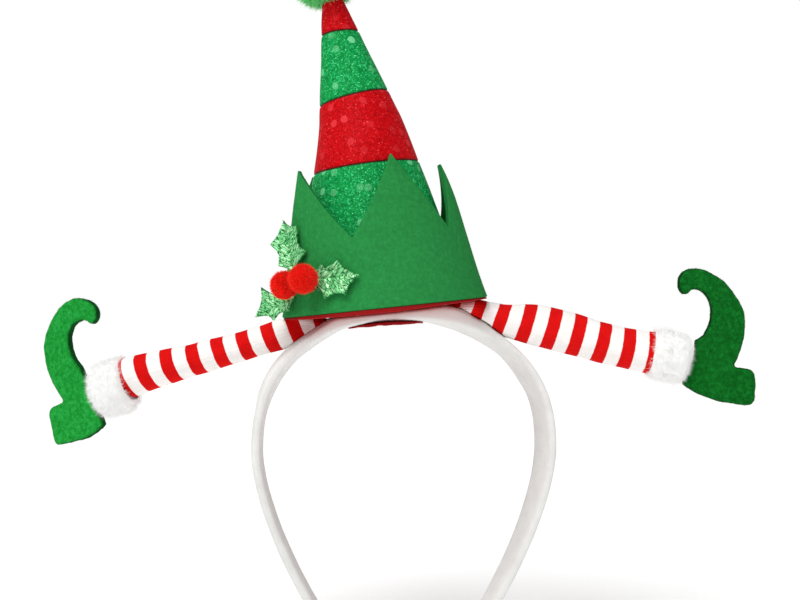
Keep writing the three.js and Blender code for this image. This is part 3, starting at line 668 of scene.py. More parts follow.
def surface_samples(piece, count, seed):
    """Points spread evenly over a piece's faces, with the normals there."""
    rng = np.random.default_rng(seed)
    mesh = piece.data
    mesh.calc_loop_triangles()
    corners = np.empty(len(mesh.loop_triangles) * 3, dtype=int)
    mesh.loop_triangles.foreach_get("vertices", corners)
    a, b, c = np.moveaxis(points_of(piece)[corners.reshape(-1, 3)], 1, 0)
    cross = np.cross(b - a, c - a)
    area = np.linalg.norm(cross, axis=1)
    chosen = rng.choice(len(area), count, p=area / area.sum())
    s, t = rng.uniform(size=(2, count, 1))
    fold = s + t > 1
    s, t = np.where(fold, 1 - s, s), np.where(fold, 1 - t, t)
    return a[chosen] + (b[chosen] - a[chosen]) * s + (c[chosen] - a[chosen]) * t, unit(cross[chosen])


def fuzz(piece, name, count, length, thick, seed):
    """Short loose fibres that stand out of a felt surface, lying over at all angles."""
    rng = np.random.default_rng(seed)
    roots, normals = surface_samples(piece, count, seed)
    ways = normals * FUZZ["upright"] + rng.normal(size=(count, 3)) * FUZZ["spread"]
    lengths = length * rng.uniform(*FUZZ["lengths"], count)
    roots = roots - normals * FUZZ["sunk"]
    loose = fibres(name, roots, ways, lengths, thick, 0, seed + 1, STRAIGHT_FIBRE)
    set_cut(loose.data, np.zeros((len(loose.data.vertices), 2)))
    return loose


def finished(piece, slot, material, *nodes):
    """Gives a piece its material and its place in the frame, and hides the solids that it stands for."""
    piece.data.materials.clear()
    piece.data.materials.append(material)
    pick(piece)
    bpy.ops.object.shade_smooth_by_angle(angle=math.radians(50))
    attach(piece, "root")
    if nodes:
        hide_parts(*nodes)
    return piece


def settled(points):
    """Hat points in the hat's own frame, let down on the right and up on the left near the floor."""
    fade = 1 - smooth(points[:, 2] / SETTLE["height"])
    lower = points.copy()
    lower[:, 2] -= SETTLE["slope"] * points[:, 0] * fade
    return lower


def floor_depth(x):
    """Depth of the underside of the felt floor below the hat, at places across the hat."""
    return between(x, FLOOR) + SETTLE["slope"] * x


# Band
def arch_line(depth, count):
    """Points along the arch a depth inside its outer face, left to right, with the outward directions."""
    drop = np.linspace(ARCH["widest_z"] - BAND["end_z"], 0, 160)
    arm_x = -(ARCH["half_width"] - ARM_LEAN["reach"] * (drop / ARM_LEAN["over_drop"]) ** ARM_LEAN["power"])
    angle = np.linspace(0, math.pi / 2, 300)[1:]
    rise = ARCH["crown_z"] - ARCH["widest_z"]
    crown_x = -ARCH["half_width"] * np.cos(angle).clip(0) ** (2 / ARCH["fullness"])
    crown_z = ARCH["widest_z"] + rise * np.sin(angle) ** (2 / ARCH["fullness"])
    x = np.concatenate([arm_x, crown_x])
    z = np.concatenate([ARCH["widest_z"] - drop, crown_z])
    x, z = np.concatenate([x, -x[-2::-1]]), np.concatenate([z, z[-2::-1]])
    length = np.concatenate([[0], np.cumsum(np.hypot(np.diff(x), np.diff(z)))])
    even = np.linspace(0, length[-1], count)
    x, z = np.interp(even, length, x), np.interp(even, length, z)
    along = unit(np.stack([np.gradient(x), np.gradient(z)], 1))
    out = np.stack([-along[:, 1], np.zeros(count), along[:, 0]], 1)
    return np.stack([x, np.zeros(count), z], 1) - out * depth, out, even


band_middle, band_out, band_length = arch_line(BAND["thick"] / 2, BAND_GRID["stations"] + 1)


def padding(outer):
    """How far the cover stands off its strip at outer points of the band, up to the felt disc."""
    in_hat = placed(outer, HAT.inverted())
    room = -floor_depth(in_hat[:, 0]) - GAP - in_hat[:, 2]
    under = np.hypot(in_hat[:, 0], in_hat[:, 1]) < DISC["radius"] + 1
    ends = smooth((outer[:, 2] - PADDING_ENDS["from_z"]) / PADDING_ENDS["over"])
    full = between(outer[:, 0], PADDING) * ends
    return np.where(under, np.minimum(full, room), full)


def rounded(wave):
    """A sine or cosine squared up, so that a section has flat faces and round corners."""
    return np.sign(wave) * np.abs(wave) ** BAND_CORNER


def band_surface(u, v):
    station = np.rint(v * BAND_GRID["stations"]).astype(int)
    middle, out = band_middle[station], band_out[station]
    to_end = np.minimum(v, 1 - v)
    taper = smooth(to_end / BAND_END["taper"])
    tip = np.sqrt(1 - (1 - np.minimum(1, to_end / BAND_END["round"])) ** 2)
    wide = BAND["end_wide"] + (BAND["wide"] - BAND["end_wide"]) * taper
    wide = wide * (BAND_END["wide"] + (1 - BAND_END["wide"]) * tip)
    in_arm = smooth((ARM_FULLNESS["from_z"] - middle[:, 2]) / ARM_FULLNESS["over"])
    high = BAND["thick"] + ARM_FULLNESS["thick"] * in_arm
    high = high * (BAND_END["thick"] + (1 - BAND_END["thick"]) * tip)
    lift = rounded(np.cos(TURN * u)) * high / 2
    across = rounded(np.sin(TURN * u)) * wide / 2
    turned_over = smooth((across / wide - LAP["at"]) / LAP["over"])
    lap = LAP["high"] * turned_over * (lift < -high * LAP["inside"]) * tip
    points = middle + out * (lift - lap)[:, None]
    points[:, 1] += across
    outer = middle + out * (BAND["thick"] / 2)
    outer[:, 1] += across
    points += out * (padding(outer) * smooth(lift / high + 0.5))[:, None]
    from_crown = band_length[station] - band_length[-1] / 2
    fuller = between(from_crown, FULLER) * (across / wide + 0.5) * tip
    inside = smooth(0.5 - lift / high)
    outside = smooth((FULLER_OUTSIDE["from_z"] - middle[:, 2]) / FULLER_OUTSIDE["over"]) * (middle[:, 0] > 0)
    points -= out * (fuller * (inside + (1 - inside) * outside))[:, None]
    pucker = 0.06 * ripple(points * np.array([1, 0.25, 1]), 9, seed=3) + 0.08 * ripple(points, 26, seed=4)
    return points + out * (pucker * np.sign(lift) * tip)[:, None]


def band_cut(u, v):
    return np.stack([v * band_length[-1], u * 2 * (BAND["wide"] + BAND["thick"])], 1)


band = grid_piece("band", BAND_GRID["columns"], BAND_GRID["stations"], band_surface, band_cut)
seal(band, closed=True)
finished(band, "band_fabric", BAND_CLOTH, "alice_band")
band_nap = fuzz(band, "band_nap", count=15000, length=0.6, thick=0.03, seed=7)
finished(band_nap, "band_fabric", BAND_CLOTH)


# Felt patch under the crown
under_line, under_out, under_length = arch_line(BAND["thick"] + 0.3 + PATCH["thick"] / 2, 400)
patch_middle = under_length[-1] / 2 + PATCH["centre"]


def patch_surface(u, v):
    x, y = 2 * u - 1, 2 * v - 1
    along = x * np.sqrt(1 - y**2 / 2)
    across = y * np.sqrt(1 - x**2 / 2)
    at = patch_middle + along * PATCH["long"] / 2
    points = np.stack([np.interp(at, under_length, under_line[:, k]) for k in range(3)], 1)
    points[:, 1] = across * PATCH["wide"] / 2
    return points


def patch_cut(u, v):
    return np.stack([u * PATCH["long"], v * PATCH["wide"]], 1)


def nearest_on(line, points):
    """Index of the nearest point of a line, seen from the front."""
    return np.argmin(((points[:, None, [0, 2]] - line[None, :, [0, 2]]) ** 2).sum(2), axis=1)


def pressed(points):
    """Thins the felt towards the ends of the patch, where the glue pulls it flat against the band."""
    face = under_line + under_out * (PATCH["thick"] / 2)
    nearest = nearest_on(face, points)
    depth = ((face[nearest] - points) * under_out[nearest]).sum(1)
    along = (under_length[nearest] - patch_middle) / (PATCH["long"] / 2)
    uneven = ripple(points * np.array([1, 0.4, 1]), 5, seed=12)
    keep = PRESS["ends"] + PRESS["middle"] * (1 - along**2).clip(0) + PRESS["uneven"] * uneven
    in_front = smooth((-points[:, 1] - NOTCH["from_y"]) / NOTCH["over"])
    notch = NOTCH["deep"] * hump(along - NOTCH["at"], NOTCH["wide"]) * in_front
    keep = (keep * (1 - notch)).clip(PRESS["least"])
    return points + under_out[nearest] * (depth * (1 - keep))[:, None]


patch = grid_piece("under_patch_felt", PATCH["columns"], PATCH["rows"], patch_surface, patch_cut)
seal(patch)
shape_with(patch, "SOLIDIFY", thickness=PATCH["thick"] * MM, offset=0)
move_to(patch, pressed(points_of(patch)))
round_edges(patch, 0.2, segments=2, sharper_than=50)
mark_shaded_cut_edges(patch, np.array([0, 0, 1]))
finished(patch, "red_felt", RED_FELT, "under_patch")
patch_fuzz = fuzz(patch, "under_patch_fuzz", count=3000, length=0.65, thick=0.03, seed=11)
finished(patch_fuzz, "red_felt", RED_FELT)

# Felt disc, the floor of the hat
disc_radius, disc_thick = DISC["radius"] * MM, DISC["thick"] * MM
disc_place = (0, 0, -disc_thick / 2)
bpy.ops.object.select_all(action="DESELECT")
bpy.ops.mesh.primitive_cylinder_add(
    vertices=DISC["sides"], radius=disc_radius, depth=disc_thick, location=disc_place
)
disc = named("base_disc_felt")
bpy.ops.object.transform_apply(location=True, rotation=True, scale=True)
bpy.ops.object.mode_set(mode="EDIT")
bpy.ops.mesh.select_mode(type="FACE")
bpy.ops.mesh.select_all(action="DESELECT")
bpy.ops.object.mode_set(mode="OBJECT")
for face in disc.data.polygons:
    face.select = abs(face.normal.z) > 0.5
bpy.ops.object.mode_set(mode="EDIT")
for ring in range(DISC["rings"]):
    bpy.ops.mesh.inset(thickness=DISC["ring"] * MM)
bpy.ops.object.mode_set(mode="OBJECT")
round_edges(disc, 0.45, segments=3, sharper_than=50)
mark_shaded_cut_edges(disc, np.array([0, 0, 1]))
flat_disc = points_of(disc)
flat_disc[:, 2] *= between(flat_disc[:, 0], FLOOR) / DISC["thick"]
move_to(disc, placed(settled(flat_disc), HAT))
finished(disc, "red_felt", RED_FELT, "base_disc")


# Glitter cone, four strips sewn edge to edge
def cone_radius(height):
    return CONE["base"] * (1 - height / CONE["height"])


def crowded(v):
    """Rows of a strip, drawn closer together at its sewn edges."""
    return v - STRIP_EDGE["crowd"] * np.sin(TURN * v)


def cone_strip(strip):
    span = strip["high"] - strip["low"]
    low_tilt, high_tilt = strip["tilts"]

    def heights(u, v):
        aside = np.sin(TURN * (u - 0.5))
        low = strip["low"] - STRIP_EDGE["meet"] + low_tilt * aside
        high = strip["high"] + STRIP_EDGE["meet"] + high_tilt * aside
        return low + (high - low) * crowded(v)

    def from_edge(v):
        return np.minimum(crowded(v), 1 - crowded(v)) * span

    def surface(u, v):
        angle = TURN * (u - 0.5)
        height = heights(u, v)
        edge = from_edge(v)
        radius = cone_radius(height) - STRIP_EDGE["sunk"] * hump(edge, STRIP_EDGE["wide"])
        round_back = np.minimum(u, 1 - u) * TURN * radius
        back_seam = BACK_SEAM["sunk"] * hump(round_back, BACK_SEAM["wide"])
        points = np.stack([np.sin(angle), -np.cos(angle), np.zeros(len(u))], 1)
        rough = points * 30 + np.stack([0 * u, 0 * u, height], 1)
        uneven = 0.22 * ripple(rough, 26, seed=21) * smooth(edge / 6)
        points *= np.maximum(radius - back_seam + uneven, 0.2)[:, None]
        points[:, 0] -= CONE["bend"] * np.maximum(0, height - CONE["bend_from"])
        points[:, 2] = height
        return placed(settled(points), HAT)

    def cut(u, v):
        half_angle = math.atan2(CONE["base"], CONE["height"])
        slant = (CONE["height"] - heights(u, v)) / math.cos(half_angle)
        turn = TURN * (u - 0.5) * math.sin(half_angle)
        return np.stack([slant * np.sin(turn), -slant * np.cos(turn)], 1)

    def folded(u, v):
        return smooth(1 - from_edge(v) / STRIP_EDGE["shade"])

    rows = max(CONE_GRID["least_rows"], round(span / CONE_GRID["row"]))
    piece = grid_piece(strip["node"] + "_cloth", CONE_GRID["columns"], rows, surface, cut, {"fold": folded})
    seal(piece)
    shape_with(piece, "SOLIDIFY", thickness=CONE["wall"] * MM, offset=-1)
    colour = strip["colour"]
    return finished(piece, colour + "_glitter_cloth", GLITTER[colour], strip["node"])


for strip in CONE_STRIPS:
    cloth = cone_strip(strip)


# Felt collar with five points
def collar_edge(u):
    """Angle, height, flare and bulge of the cut edge, from valley to peak to valley."""
    at = u * len(COLLAR_POINTS)
    index = np.minimum(at.astype(int), len(COLLAR_POINTS) - 1)
    share = 2 * (at - index)
    table = {key: np.array([point[key] for point in COLLAR_POINTS], dtype=float) for key in COLLAR_POINTS[0]}
    after = np.append(table["valley"][1:], table["valley"][0] + 360)
    climb = np.where(share <= 1, share, 2 - share)
    foot = np.where(share <= 1, table["valley"][index], after[index])
    angle = foot + (table["peak"][index] - foot) * climb
    height = COLLAR["valley"] + (table["height"][index] - COLLAR["valley"]) * climb
    return np.radians(angle), height, table["flare"][index] * climb**2, table["bulge"][index] * climb


def collar_surface(u, v):
    angle, top, flare, bulge = collar_edge(u)
    height = COLLAR["foot"] + top * v
    radius = COLLAR["base"] - COLLAR["slope"] * height + flare * v**2 + bulge * np.sin(math.pi * v**2)
    points = np.stack([radius * np.sin(angle), -radius * np.cos(angle), height], 1)
    wave = 0.35 * ripple(points, 34, seed=31) * smooth(v * 2)
    points[:, :2] *= (1 + wave / radius)[:, None]
    return placed(settled(points), HAT)


def collar_cut(u, v):
    angle, top, _, _ = collar_edge(u)
    return np.stack([angle * COLLAR["flat_radius"], top * v], 1)


collar_columns = COLLAR_GRID["columns_per_point"] * len(COLLAR_POINTS)
collar = grid_piece("collar_felt_points", collar_columns, COLLAR_GRID["rows"], collar_surface, collar_cut)
seal(collar)
shape_with(collar, "SOLIDIFY", thickness=COLLAR["wall"] * MM, offset=-1)
round_edges(collar, 0.35, segments=2, sharper_than=55)
collar_way = placed(points_of(collar), HAT.inverted()) * np.array([1, 1, 0])
collar_out = unit(unit(collar_way) + np.array([0, 0, COLLAR["slope"]]))
mark_shaded_cut_edges(collar, collar_out @ np.array(HAT)[:3, :3].T)
finished(collar, "collar_felt", COLLAR_FELT, "collar")
collar_fuzz = fuzz(collar, "collar_fuzz", count=22000, length=0.65, thick=0.03, seed=41)
finished(collar_fuzz, "collar_felt", COLLAR_FELT)


# Holly sprig
def sprig_frame():
    """The plane that touches the collar at the sprig: x to the right, y up and z outwards."""
    radius = COLLAR["base"] - COLLAR["slope"] * SPRIG["height"]
    tilt = math.atan(COLLAR["slope"])
    at = math.radians(SPRIG["at"])
    right = Vector((math.cos(at), math.sin(at), 0))
    front = Vector((math.sin(at), -math.cos(at), 0))
    out = front * math.cos(tilt) + Vector((0, 0, math.sin(tilt)))
    axes = Matrix((right, out.cross(right), out)).transposed().to_4x4()
    return HAT @ Matrix.Translation(front * radius + Vector((0, 0, SPRIG["height"]))) @ axes


SPRIG_FRAME = sprig_frame()


def leaf_edge(x, line):
    """The cut edge at places along the leaf: hollow between one spine and the next."""
    along, aside = np.array(line, dtype=float).T
    low = np.clip(np.searchsorted(along, x, side="right") - 1, 0, len(along) - 2)
    share = (x - along[low]) / (along[low + 1] - along[low])
    rising = np.abs(aside[low + 1]) > np.abs(aside[low])
    share = np.where(rising, share**LEAF_HOLLOW, 1 - (1 - share) ** LEAF_HOLLOW)
    return aside[low] + (aside[low + 1] - aside[low]) * share


def leaf_piece(leaf, seed):
    turn = Matrix.Rotation(math.radians(leaf["points"]), 4, "Z")
    leaf_frame = SPRIG_FRAME @ Matrix.Translation((leaf["x"], leaf["y"], leaf["lift"])) @ turn
    left, right = LEAF_CUT[leaf["node"]]
    tip_aside = left[-1][1]

    def flat_cut(u, v):
        """Places on the flat leaf: the rib runs straight from the stalk to the tip, mid-grid."""
        x = u * leaf["long"]
        rib = u * tip_aside
        across = 2 * v - 1
        edge = np.where(across > 0, leaf_edge(x, left), leaf_edge(x, right))
        return np.stack([x, rib + np.abs(across) * (edge - rib)], 1)

    def surface(u, v):
        x, y = flat_cut(u, v).T
        across = 2 * v - 1
        from_rib = y - u * tip_aside
        reach = np.abs(from_rib) / leaf["half"]
        lines = np.stack([x, y, 0 * x], 1)
        bent = 0.5 * ripple(lines, 5, seed + 3)
        veins = np.abs(np.sin(math.pi * (u * 4.5 - reach * 1.7 + bent))) - 0.6
        crumple = np.abs(ripple(lines * np.array([0.7, 1, 1]), 3.4, seed)) - 0.3
        z = LEAF["fold"] * reach + LEAF["curl"] * (u - 0.5) ** 2
        z += LEAF["veins"] * veins * smooth(reach * 5) * (1 - 0.3 * np.abs(across))
        z -= LEAF["rib"] * hump(from_rib, 0.55)
        z += LEAF["crumple"] * crumple * (1 - 0.8 * across**2) * smooth((1 - u) / 0.2)
        return placed(np.stack([x, y, z], 1), leaf_frame)

    def rim(u, v):
        return smooth((np.abs(2 * v - 1) - 0.88) / 0.12)

    name = leaf["node"] + "_foil"
    piece = grid_piece(name, LEAF_GRID["columns"], LEAF_GRID["rows"], surface, flat_cut, {"rim": rim})
    seal(piece)
    shape_with(piece, "SOLIDIFY", thickness=LEAF["thick"] * MM, offset=0)
    finished(piece, "leaf_foil", LEAF_FOIL, leaf["node"])


for index, leaf in enumerate(LEAVES):
    leaf_piece(leaf, seed=50 + index)


# Pompoms: a cut ball of yarn, fibres standing out all round
def pompom(name, middle, radius, fluff, seed):
    rng = np.random.default_rng(seed)
    count, reach, depth = fluff["count"], fluff["reach"], fluff["depth"]
    bpy.ops.object.select_all(action="DESELECT")
    bpy.ops.mesh.primitive_ico_sphere_add(subdivisions=5, radius=(reach - depth) * radius * MM)
    core = named(name)
    points = points_of(core)
    points *= (1 + 0.03 * ripple(points, radius * 0.35, seed))[:, None]
    move_to(core, points + middle)
    shade = 0.1 + 0.15 * ripple(points, radius * 0.2, seed + 1)
    set_cut(core.data, np.stack([shade, np.full(len(points), 0.4)], 1))
    ways = unit(rng.normal(size=(count, 3)))
    clump = np.stack([ripple(ways * radius, radius * YARN["clump"], seed + k) for k in (2, 3, 4)], 1)
    roots = middle + ways * (reach - YARN["sunk"] * depth) * radius
    lengths = radius * depth * rng.uniform(YARN["shortest"], fluff["longest"], count)
    combed = unit(ways + YARN["clumped"] * clump) + rng.normal(size=(count, 3)) * YARN["spread"]
    hair = fibres(name + "_hair", roots, combed, lengths, fluff["thick"], YARN["curl"], seed + 7)
    return join(core, hair)


def middle_of(row, height, matrix):
    """A piece's middle, from its row, in the row frame."""
    return placed(np.array([[row["x"], row["y"], row[height]]]), matrix)[0]


for berry in BERRIES:
    middle = middle_of(berry, "lift", SPRIG_FRAME)
    ball = pompom(berry["node"] + "_fluff", middle, berry["radius"], BERRY_FLUFF, berry["seed"])
    finished(ball, "berry_fluff", BERRY_PILE, berry["node"])

tip_middle = middle_of(TIP_POMPOM, "z", HAT)
tip_ball = pompom("tip_pompom_fluff", tip_middle, TIP_POMPOM["radius"], TIP_FLUFF, TIP_POMPOM["seed"])
finished(tip_ball, "pompom_fluff", POMPOM_PILE, "tip_pompom")


# Stuffed legs
def leg_axis(side, share):
    """Middle, direction, upward and sideways directions and height of a leg at shares of its length."""
    rows = np.array(LEGS[side], dtype=float)
    knots = np.concatenate([[0], np.cumsum(np.linalg.norm(np.diff(rows[:, :3], axis=0), axis=1))])
    slopes = np.gradient(rows, knots, axis=0)

    def at(position):
        low = np.clip(np.searchsorted(knots, position, side="right") - 1, 0, len(knots) - 2)
        width = knots[low + 1] - knots[low]
        t = ((position - knots[low]) / width)[:, None]
        start, end = slopes[low] * width[:, None], slopes[low + 1] * width[:, None]
        near = (2 * t**3 - 3 * t**2 + 1) * rows[low] + (t**3 - 2 * t**2 + t) * start
        return near + (3 * t**2 - 2 * t**3) * rows[low + 1] + (t**3 - t**2) * end

    position = share * knots[-1]
    here = at(position)
    step = 0.5
    ahead, behind = at(np.minimum(position + step, knots[-1])), at(np.maximum(position - step, 0))
    along = unit((ahead - behind)[:, :3])
    up = unit(np.array([0, 0, 1]) - along * along[:, 2:3])
    return here[:, :3], along, up, np.cross(up, along), here[:, 3], knots[-1]


def keep_clear(points):
    """Presses leg points out of the hat's floor and collar and out of the band, as they lie against them."""
    in_hat = placed(points, HAT.inverted())
    rim = np.hypot(in_hat[:, 0], in_hat[:, 1]) - COLLAR["base"] - 0.3
    ceiling = -floor_depth(in_hat[:, 0]) - GAP + 1.2 * np.maximum(0, rim)
    in_hat[:, 2] = np.minimum(in_hat[:, 2], ceiling)
    points = placed(in_hat, HAT)
    outer = band_middle + band_out * (BAND["thick"] / 2)
    outer += band_out * (padding(outer) + GAP)[:, None]
    nearest = nearest_on(outer, points)
    gap = ((points - outer[nearest]) * band_out[nearest])[:, [0, 2]].sum(1)
    over_band = np.abs(points[:, 1]) < BAND["wide"] / 2 + 0.3
    push = np.where(over_band & (gap < 0), -gap, 0)
    return points + band_out[nearest] * push[:, None]


def stuff(piece):
    """Fills a sewn cover by pressure from inside, its ends held, and keeps each point near its pattern."""
    before = points_of(piece)
    held = piece.vertex_groups.new(name="sewn_ends")
    held.add(np.nonzero(end_mask(before))[0].tolist(), 1.0, "REPLACE")
    modifier = piece.modifiers.new("stuffing", "CLOTH")
    cloth = modifier.settings
    cloth.quality = 6
    cloth.mass = 0.2
    cloth.use_pressure = True
    cloth.uniform_pressure_force = 4
    cloth.tension_stiffness = 12
    cloth.compression_stiffness = 12
    cloth.bending_stiffness = 0.4
    cloth.shrink_min = -0.04
    cloth.vertex_group_mass = held.name
    cloth.effector_weights.gravity = 0
    modifier.collision_settings.use_collision = False
    scene = bpy.context.scene
    for step in range(1, STUFFING_STEPS + 1):
        scene.frame_set(step)
    bpy.context.view_layer.objects.active = piece
    bpy.ops.object.modifier_apply(modifier=modifier.name)
    scene.frame_set(1)
    moved = points_of(piece) - before
    length = np.linalg.norm(moved, axis=1, keepdims=True)
    move_to(piece, before + moved * np.minimum(1, SWELL_LIMIT / np.maximum(length, 1e-6)))
    piece.vertex_groups.clear()


def end_mask(points):
    """The two closed ends of a leg, found by their place along it."""
    along = points[:, 0]
    return (along < along.min() + 1.5) | (along > along.max() - 1.5)


def leg_piece(side):
    first, last = LEG_SPAN[side]

    def surface(u, v):
        middle, _, up, across, high, _ = leg_axis(side, first + (last - first) * v)
        radius = high / 2 - SEWN_SMALLER
        rise, aside = np.cos(TURN * u), np.sin(TURN * u)
        flat = ROOT["flat"] + (1 - ROOT["flat"]) * smooth(v / ROOT["share"])
        top, under = (between(middle[:, 0], FILLING[side], column) for column in (1, 2))
        gathered = np.where(rise > 0, top, under) * rise
        lift = ((rise * radius + gathered) * flat)[:, None]
        points = middle + up * lift + across * (aside * radius)[:, None]
        return placed(points, DRESS)

    def cut(u, v):
        share = first + (last - first) * v
        _, _, _, _, high, length = leg_axis(side, share)
        lift = np.cos(TURN * u) * high / 2
        return np.stack([share * length + STRIPES[side]["slant"] * lift, u * LEG_GIRTH], 1)

    leg = grid_piece(f"leg_{side}_stuffed", LEG_GRID["columns"], LEG_GRID["rows"], surface, cut)
    seal(leg, closed=True)
    stuff(leg)
    shape_with(leg, "SUBSURF", levels=1, render_levels=1)
    points = points_of(leg)
    points += 0.22 * unit(vectors_of(leg, "normal")) * ripple(points, 13, seed=90)[:, None]
    move_to(leg, keep_clear(points))
    finished(leg, "striped_cloth", JERSEY[side], "leg_" + side)


for side in LEGS:
    leg_piece(side)


# Plush cuffs
def cuff_piece(side, seed):
    cuff = CUFFS[side]
    rng = np.random.default_rng(seed)
    leg_length = leg_axis(side, np.zeros(1))[-1]
    share = np.array([1 - cuff["back"] / leg_length])
    middle, along, up, across, high = (value[0] for value in leg_axis(side, share)[:5])
    inner = high / 2 + 0.4
    start = -math.acos((inner / cuff["radius"]) ** (1 / CUFF_SQUARENESS))

    def profile(v):
        """Level along the cuff in millimetres and radius, from the leg over the round outside to the shoe."""
        angle = start + (math.pi / 2 - start) * v
        half = cuff["long"] / 2 + np.where(angle > 0, cuff["dome"], cuff["overlap"])
        level = half * np.sign(np.sin(angle)) * np.abs(np.sin(angle)) ** CUFF_SQUARENESS
        return level, cuff["radius"] * np.cos(angle).clip(0) ** CUFF_SQUARENESS

    def ring(angle, v):
        level, radius = profile(v)
        spoke = up * np.cos(angle)[:, None] + across * np.sin(angle)[:, None]
        sag = cuff["sag"] * smooth(v / 0.3)
        return middle + along * level[:, None] + spoke * radius[:, None] - up * sag[:, None], spoke

    def surface(u, v):
        points, spoke = ring(TURN * u, v)
        tufts = 0.35 * ripple(points, CUFF_PILE["tuft"], seed) * smooth(v / 0.1) * smooth((1 - v) / 0.1)
        return placed(points + spoke * tufts[:, None], DRESS)

    def shade(u, v):
        """The core has the shade of a fibre near its root all over."""
        return np.stack([0 * u + 0.1, 0 * v + 0.5], 1) / MM

    core = grid_piece(f"cuff_{side}_plush", CUFF_GRID["columns"], CUFF_GRID["rows"], surface, shade)
    seal(core)
    count = CUFF_PILE["count"]
    angle = rng.uniform(0, TURN, count)
    steps = np.linspace(0, 1, 240)
    level, radius = profile(steps)
    stretch = np.hypot(np.gradient(level), np.gradient(radius))
    covered = np.cumsum(stretch * radius)
    at = np.interp(rng.uniform(0, covered[-1], count), covered, steps)
    roots, spoke = ring(angle, at)
    outward = np.interp(at, steps, np.gradient(level) / stretch)
    endward = np.interp(at, steps, -np.gradient(radius) / stretch) + between(at, CUFF_COMB)
    ways = CUFF_LAY["upright"] * (spoke * outward[:, None] + along * endward[:, None])
    clump = np.stack([ripple(roots, CUFF_PILE["tuft"], seed + k) for k in (1, 2, 3)], 1)
    ways = ways + CUFF_LAY["clumped"] * clump + rng.normal(size=(count, 3)) * CUFF_LAY["spread"]
    lengths = cuff["pile"] * rng.uniform(CUFF_PILE["shortest"], 1.0, count)
    ways = ways @ np.array(DRESS)[:3, :3].T
    roots = placed(roots, DRESS)
    hair = fibres(core.name + "_hair", roots, ways, lengths, CUFF_PILE["thick"], CUFF_PILE["curl"], seed + 5)
    plush = join(core, hair)
    finished(plush, "white_plush", WHITE_PILE, "cuff_" + side)


for index, side in enumerate(CUFFS):
    cuff_piece(side, seed=120 + 10 * index)


# Felt shoes, cut from thick felt along a drawn line
def shoe_line(side):
    """The drawn cut as a closed curve with the thickness of the felt and rounded edges."""
    rounding = SHOE["rounding"] * MM
    line = bpy.data.curves.new(f"shoe_{side}_cut", "CURVE")
    line.dimensions = "2D"
    line.fill_mode = "BOTH"
    line.resolution_u = 10
    line.extrude = SHOE["thick"] / 2 * MM - rounding
    line.bevel_depth = rounding
    line.bevel_resolution = 3
    line.offset = -rounding
    cut = SHOE_CUT[side]
    spline = line.splines.new("BEZIER")
    spline.bezier_points.add(len(cut) - 1)
    spline.use_cyclic_u = True
    # The line starts and ends at a corner, so its first point has no handle before it and its last none after
    (first, first_after), (last_before, last) = cut[0], cut[-1]
    knots = [(first, first, first_after), *cut[1:-1], (last_before, last, last)]
    for knot, places in zip(spline.bezier_points, knots):
        knot.handle_left_type = knot.handle_right_type = "FREE"
        for key, (u, v) in zip(("handle_left", "co", "handle_right"), places):
            setattr(knot, key, (SHOES[side]["hand"] * u * MM, v * MM, 0))
    return line


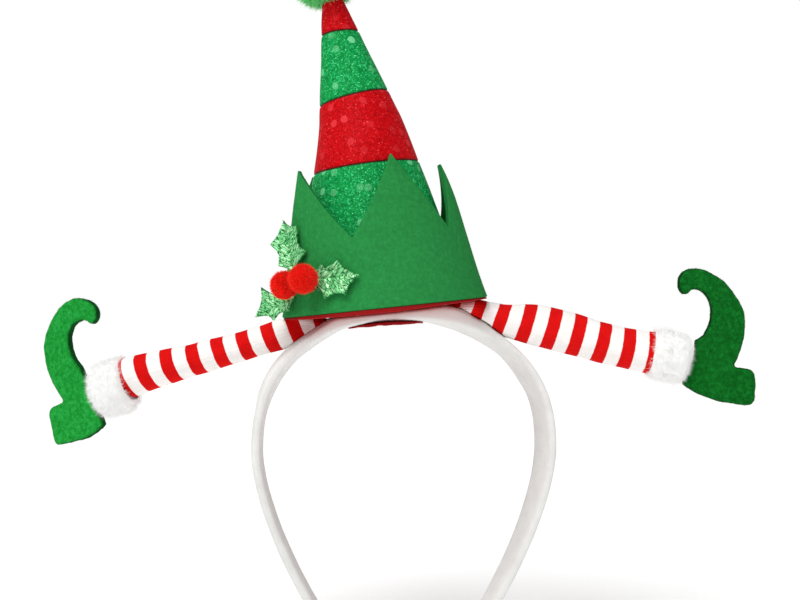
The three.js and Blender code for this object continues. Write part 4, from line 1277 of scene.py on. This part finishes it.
def shoe_piece(side, seed):
    shoe = SHOES[side]
    piece = bpy.data.objects.new(f"shoe_{side}_felt", shoe_line(side))
    bpy.context.collection.objects.link(piece)
    pick(piece)
    bpy.ops.object.convert(target="MESH")
    piece = named(f"shoe_{side}_felt")
    shape_with(piece, "REMESH", mode="VOXEL", voxel_size=SHOE["voxel"] * MM)
    shape_with(piece, "SMOOTH", factor=0.5, iterations=4)
    points = points_of(piece)
    lumps = 0.16 * ripple(points, 7, seed) + 0.12 * ripple(points, 2.6, seed + 1)
    points += unit(vectors_of(piece, "normal")) * lumps[:, None]
    move_to(piece, points)
    mark_shaded_cut_edges(piece, np.array([0, 0, 1]))
    points[:, 2] += SHOE["warp"] * np.sin(points[:, 1] / SHOE["warp_over"] + seed)
    upright = points[:, [0, 2, 1]] * np.array([1, -1, 1])
    yaw = Matrix.Rotation(math.radians(-shoe["yaw"]), 4, "Z")
    roll = Matrix.Rotation(math.radians(shoe["roll"]), 4, "Y")
    ankle = Matrix.Translation((shoe["x"], shoe["y"], shoe["z"]))
    move_to(piece, placed(upright, DRESS @ ankle @ yaw @ roll))
    seal(piece)
    finished(piece, "shoe_felt", SHOE_FELTS[side], "shoe_" + side)
    fluff = fuzz(piece, f"shoe_{side}_fuzz", count=16000, length=0.85, thick=0.035, seed=seed + 2)
    finished(fluff, "shoe_felt", SHOE_FELTS[side])


for index, side in enumerate(SHOES):
    shoe_piece(side, seed=150 + 10 * index)


# Studio: light table, soft light from the upper left, a little from the right, camera where the photo's was
def studio():
    bpy.ops.object.select_all(action="DESELECT")
    bpy.ops.mesh.primitive_plane_add(size=GROUND["size"], location=(0, 0, GROUND["z"] * MM))
    floor = named("floor")
    floor.data.materials.append(light_table())

    world = bpy.data.worlds.new("studio")
    bpy.context.scene.world = world
    world.use_nodes = True
    sky = world.node_tree
    seen = add(sky, "LightPath")
    glow = add(sky, "MapRange", {"Value": seen, "To Min": SKY["light"], "To Max": SKY["seen"]})
    connect(sky, sky.nodes["Background"], {"Color": (1, 1, 1, 1), "Strength": glow})

    for kind, name, place, size, power in LAMPS:
        light = bpy.data.lights.new(name, kind)
        light.energy = power
        setattr(light, "angle" if kind == "SUN" else "size", size)
        lamp = bpy.data.objects.new(name, light)
        bpy.context.collection.objects.link(lamp)
        lamp.location = place
        lamp.rotation_euler = (-Vector(place)).to_track_quat("-Z", "Y").to_euler()

    eye = bpy.data.cameras.new("camera")
    eye.sensor_width = CAMERA["sensor"]
    eye.lens = CAMERA["sensor"] * CAMERA["distance"] / (CAMERA["pixels"] * CAMERA["pixel"])
    camera = bpy.data.objects.new("camera", eye)
    bpy.context.collection.objects.link(camera)
    camera.location = DRESS @ Vector((CAMERA["x"], -CAMERA["distance"], CAMERA["z"])) * MM
    camera.rotation_euler = (math.radians(90), 0, DRESS_TURN)
    bpy.context.scene.camera = camera
    bpy.context.scene.view_settings.view_transform = "Standard"


studio()
bpy.context.view_layer.update()
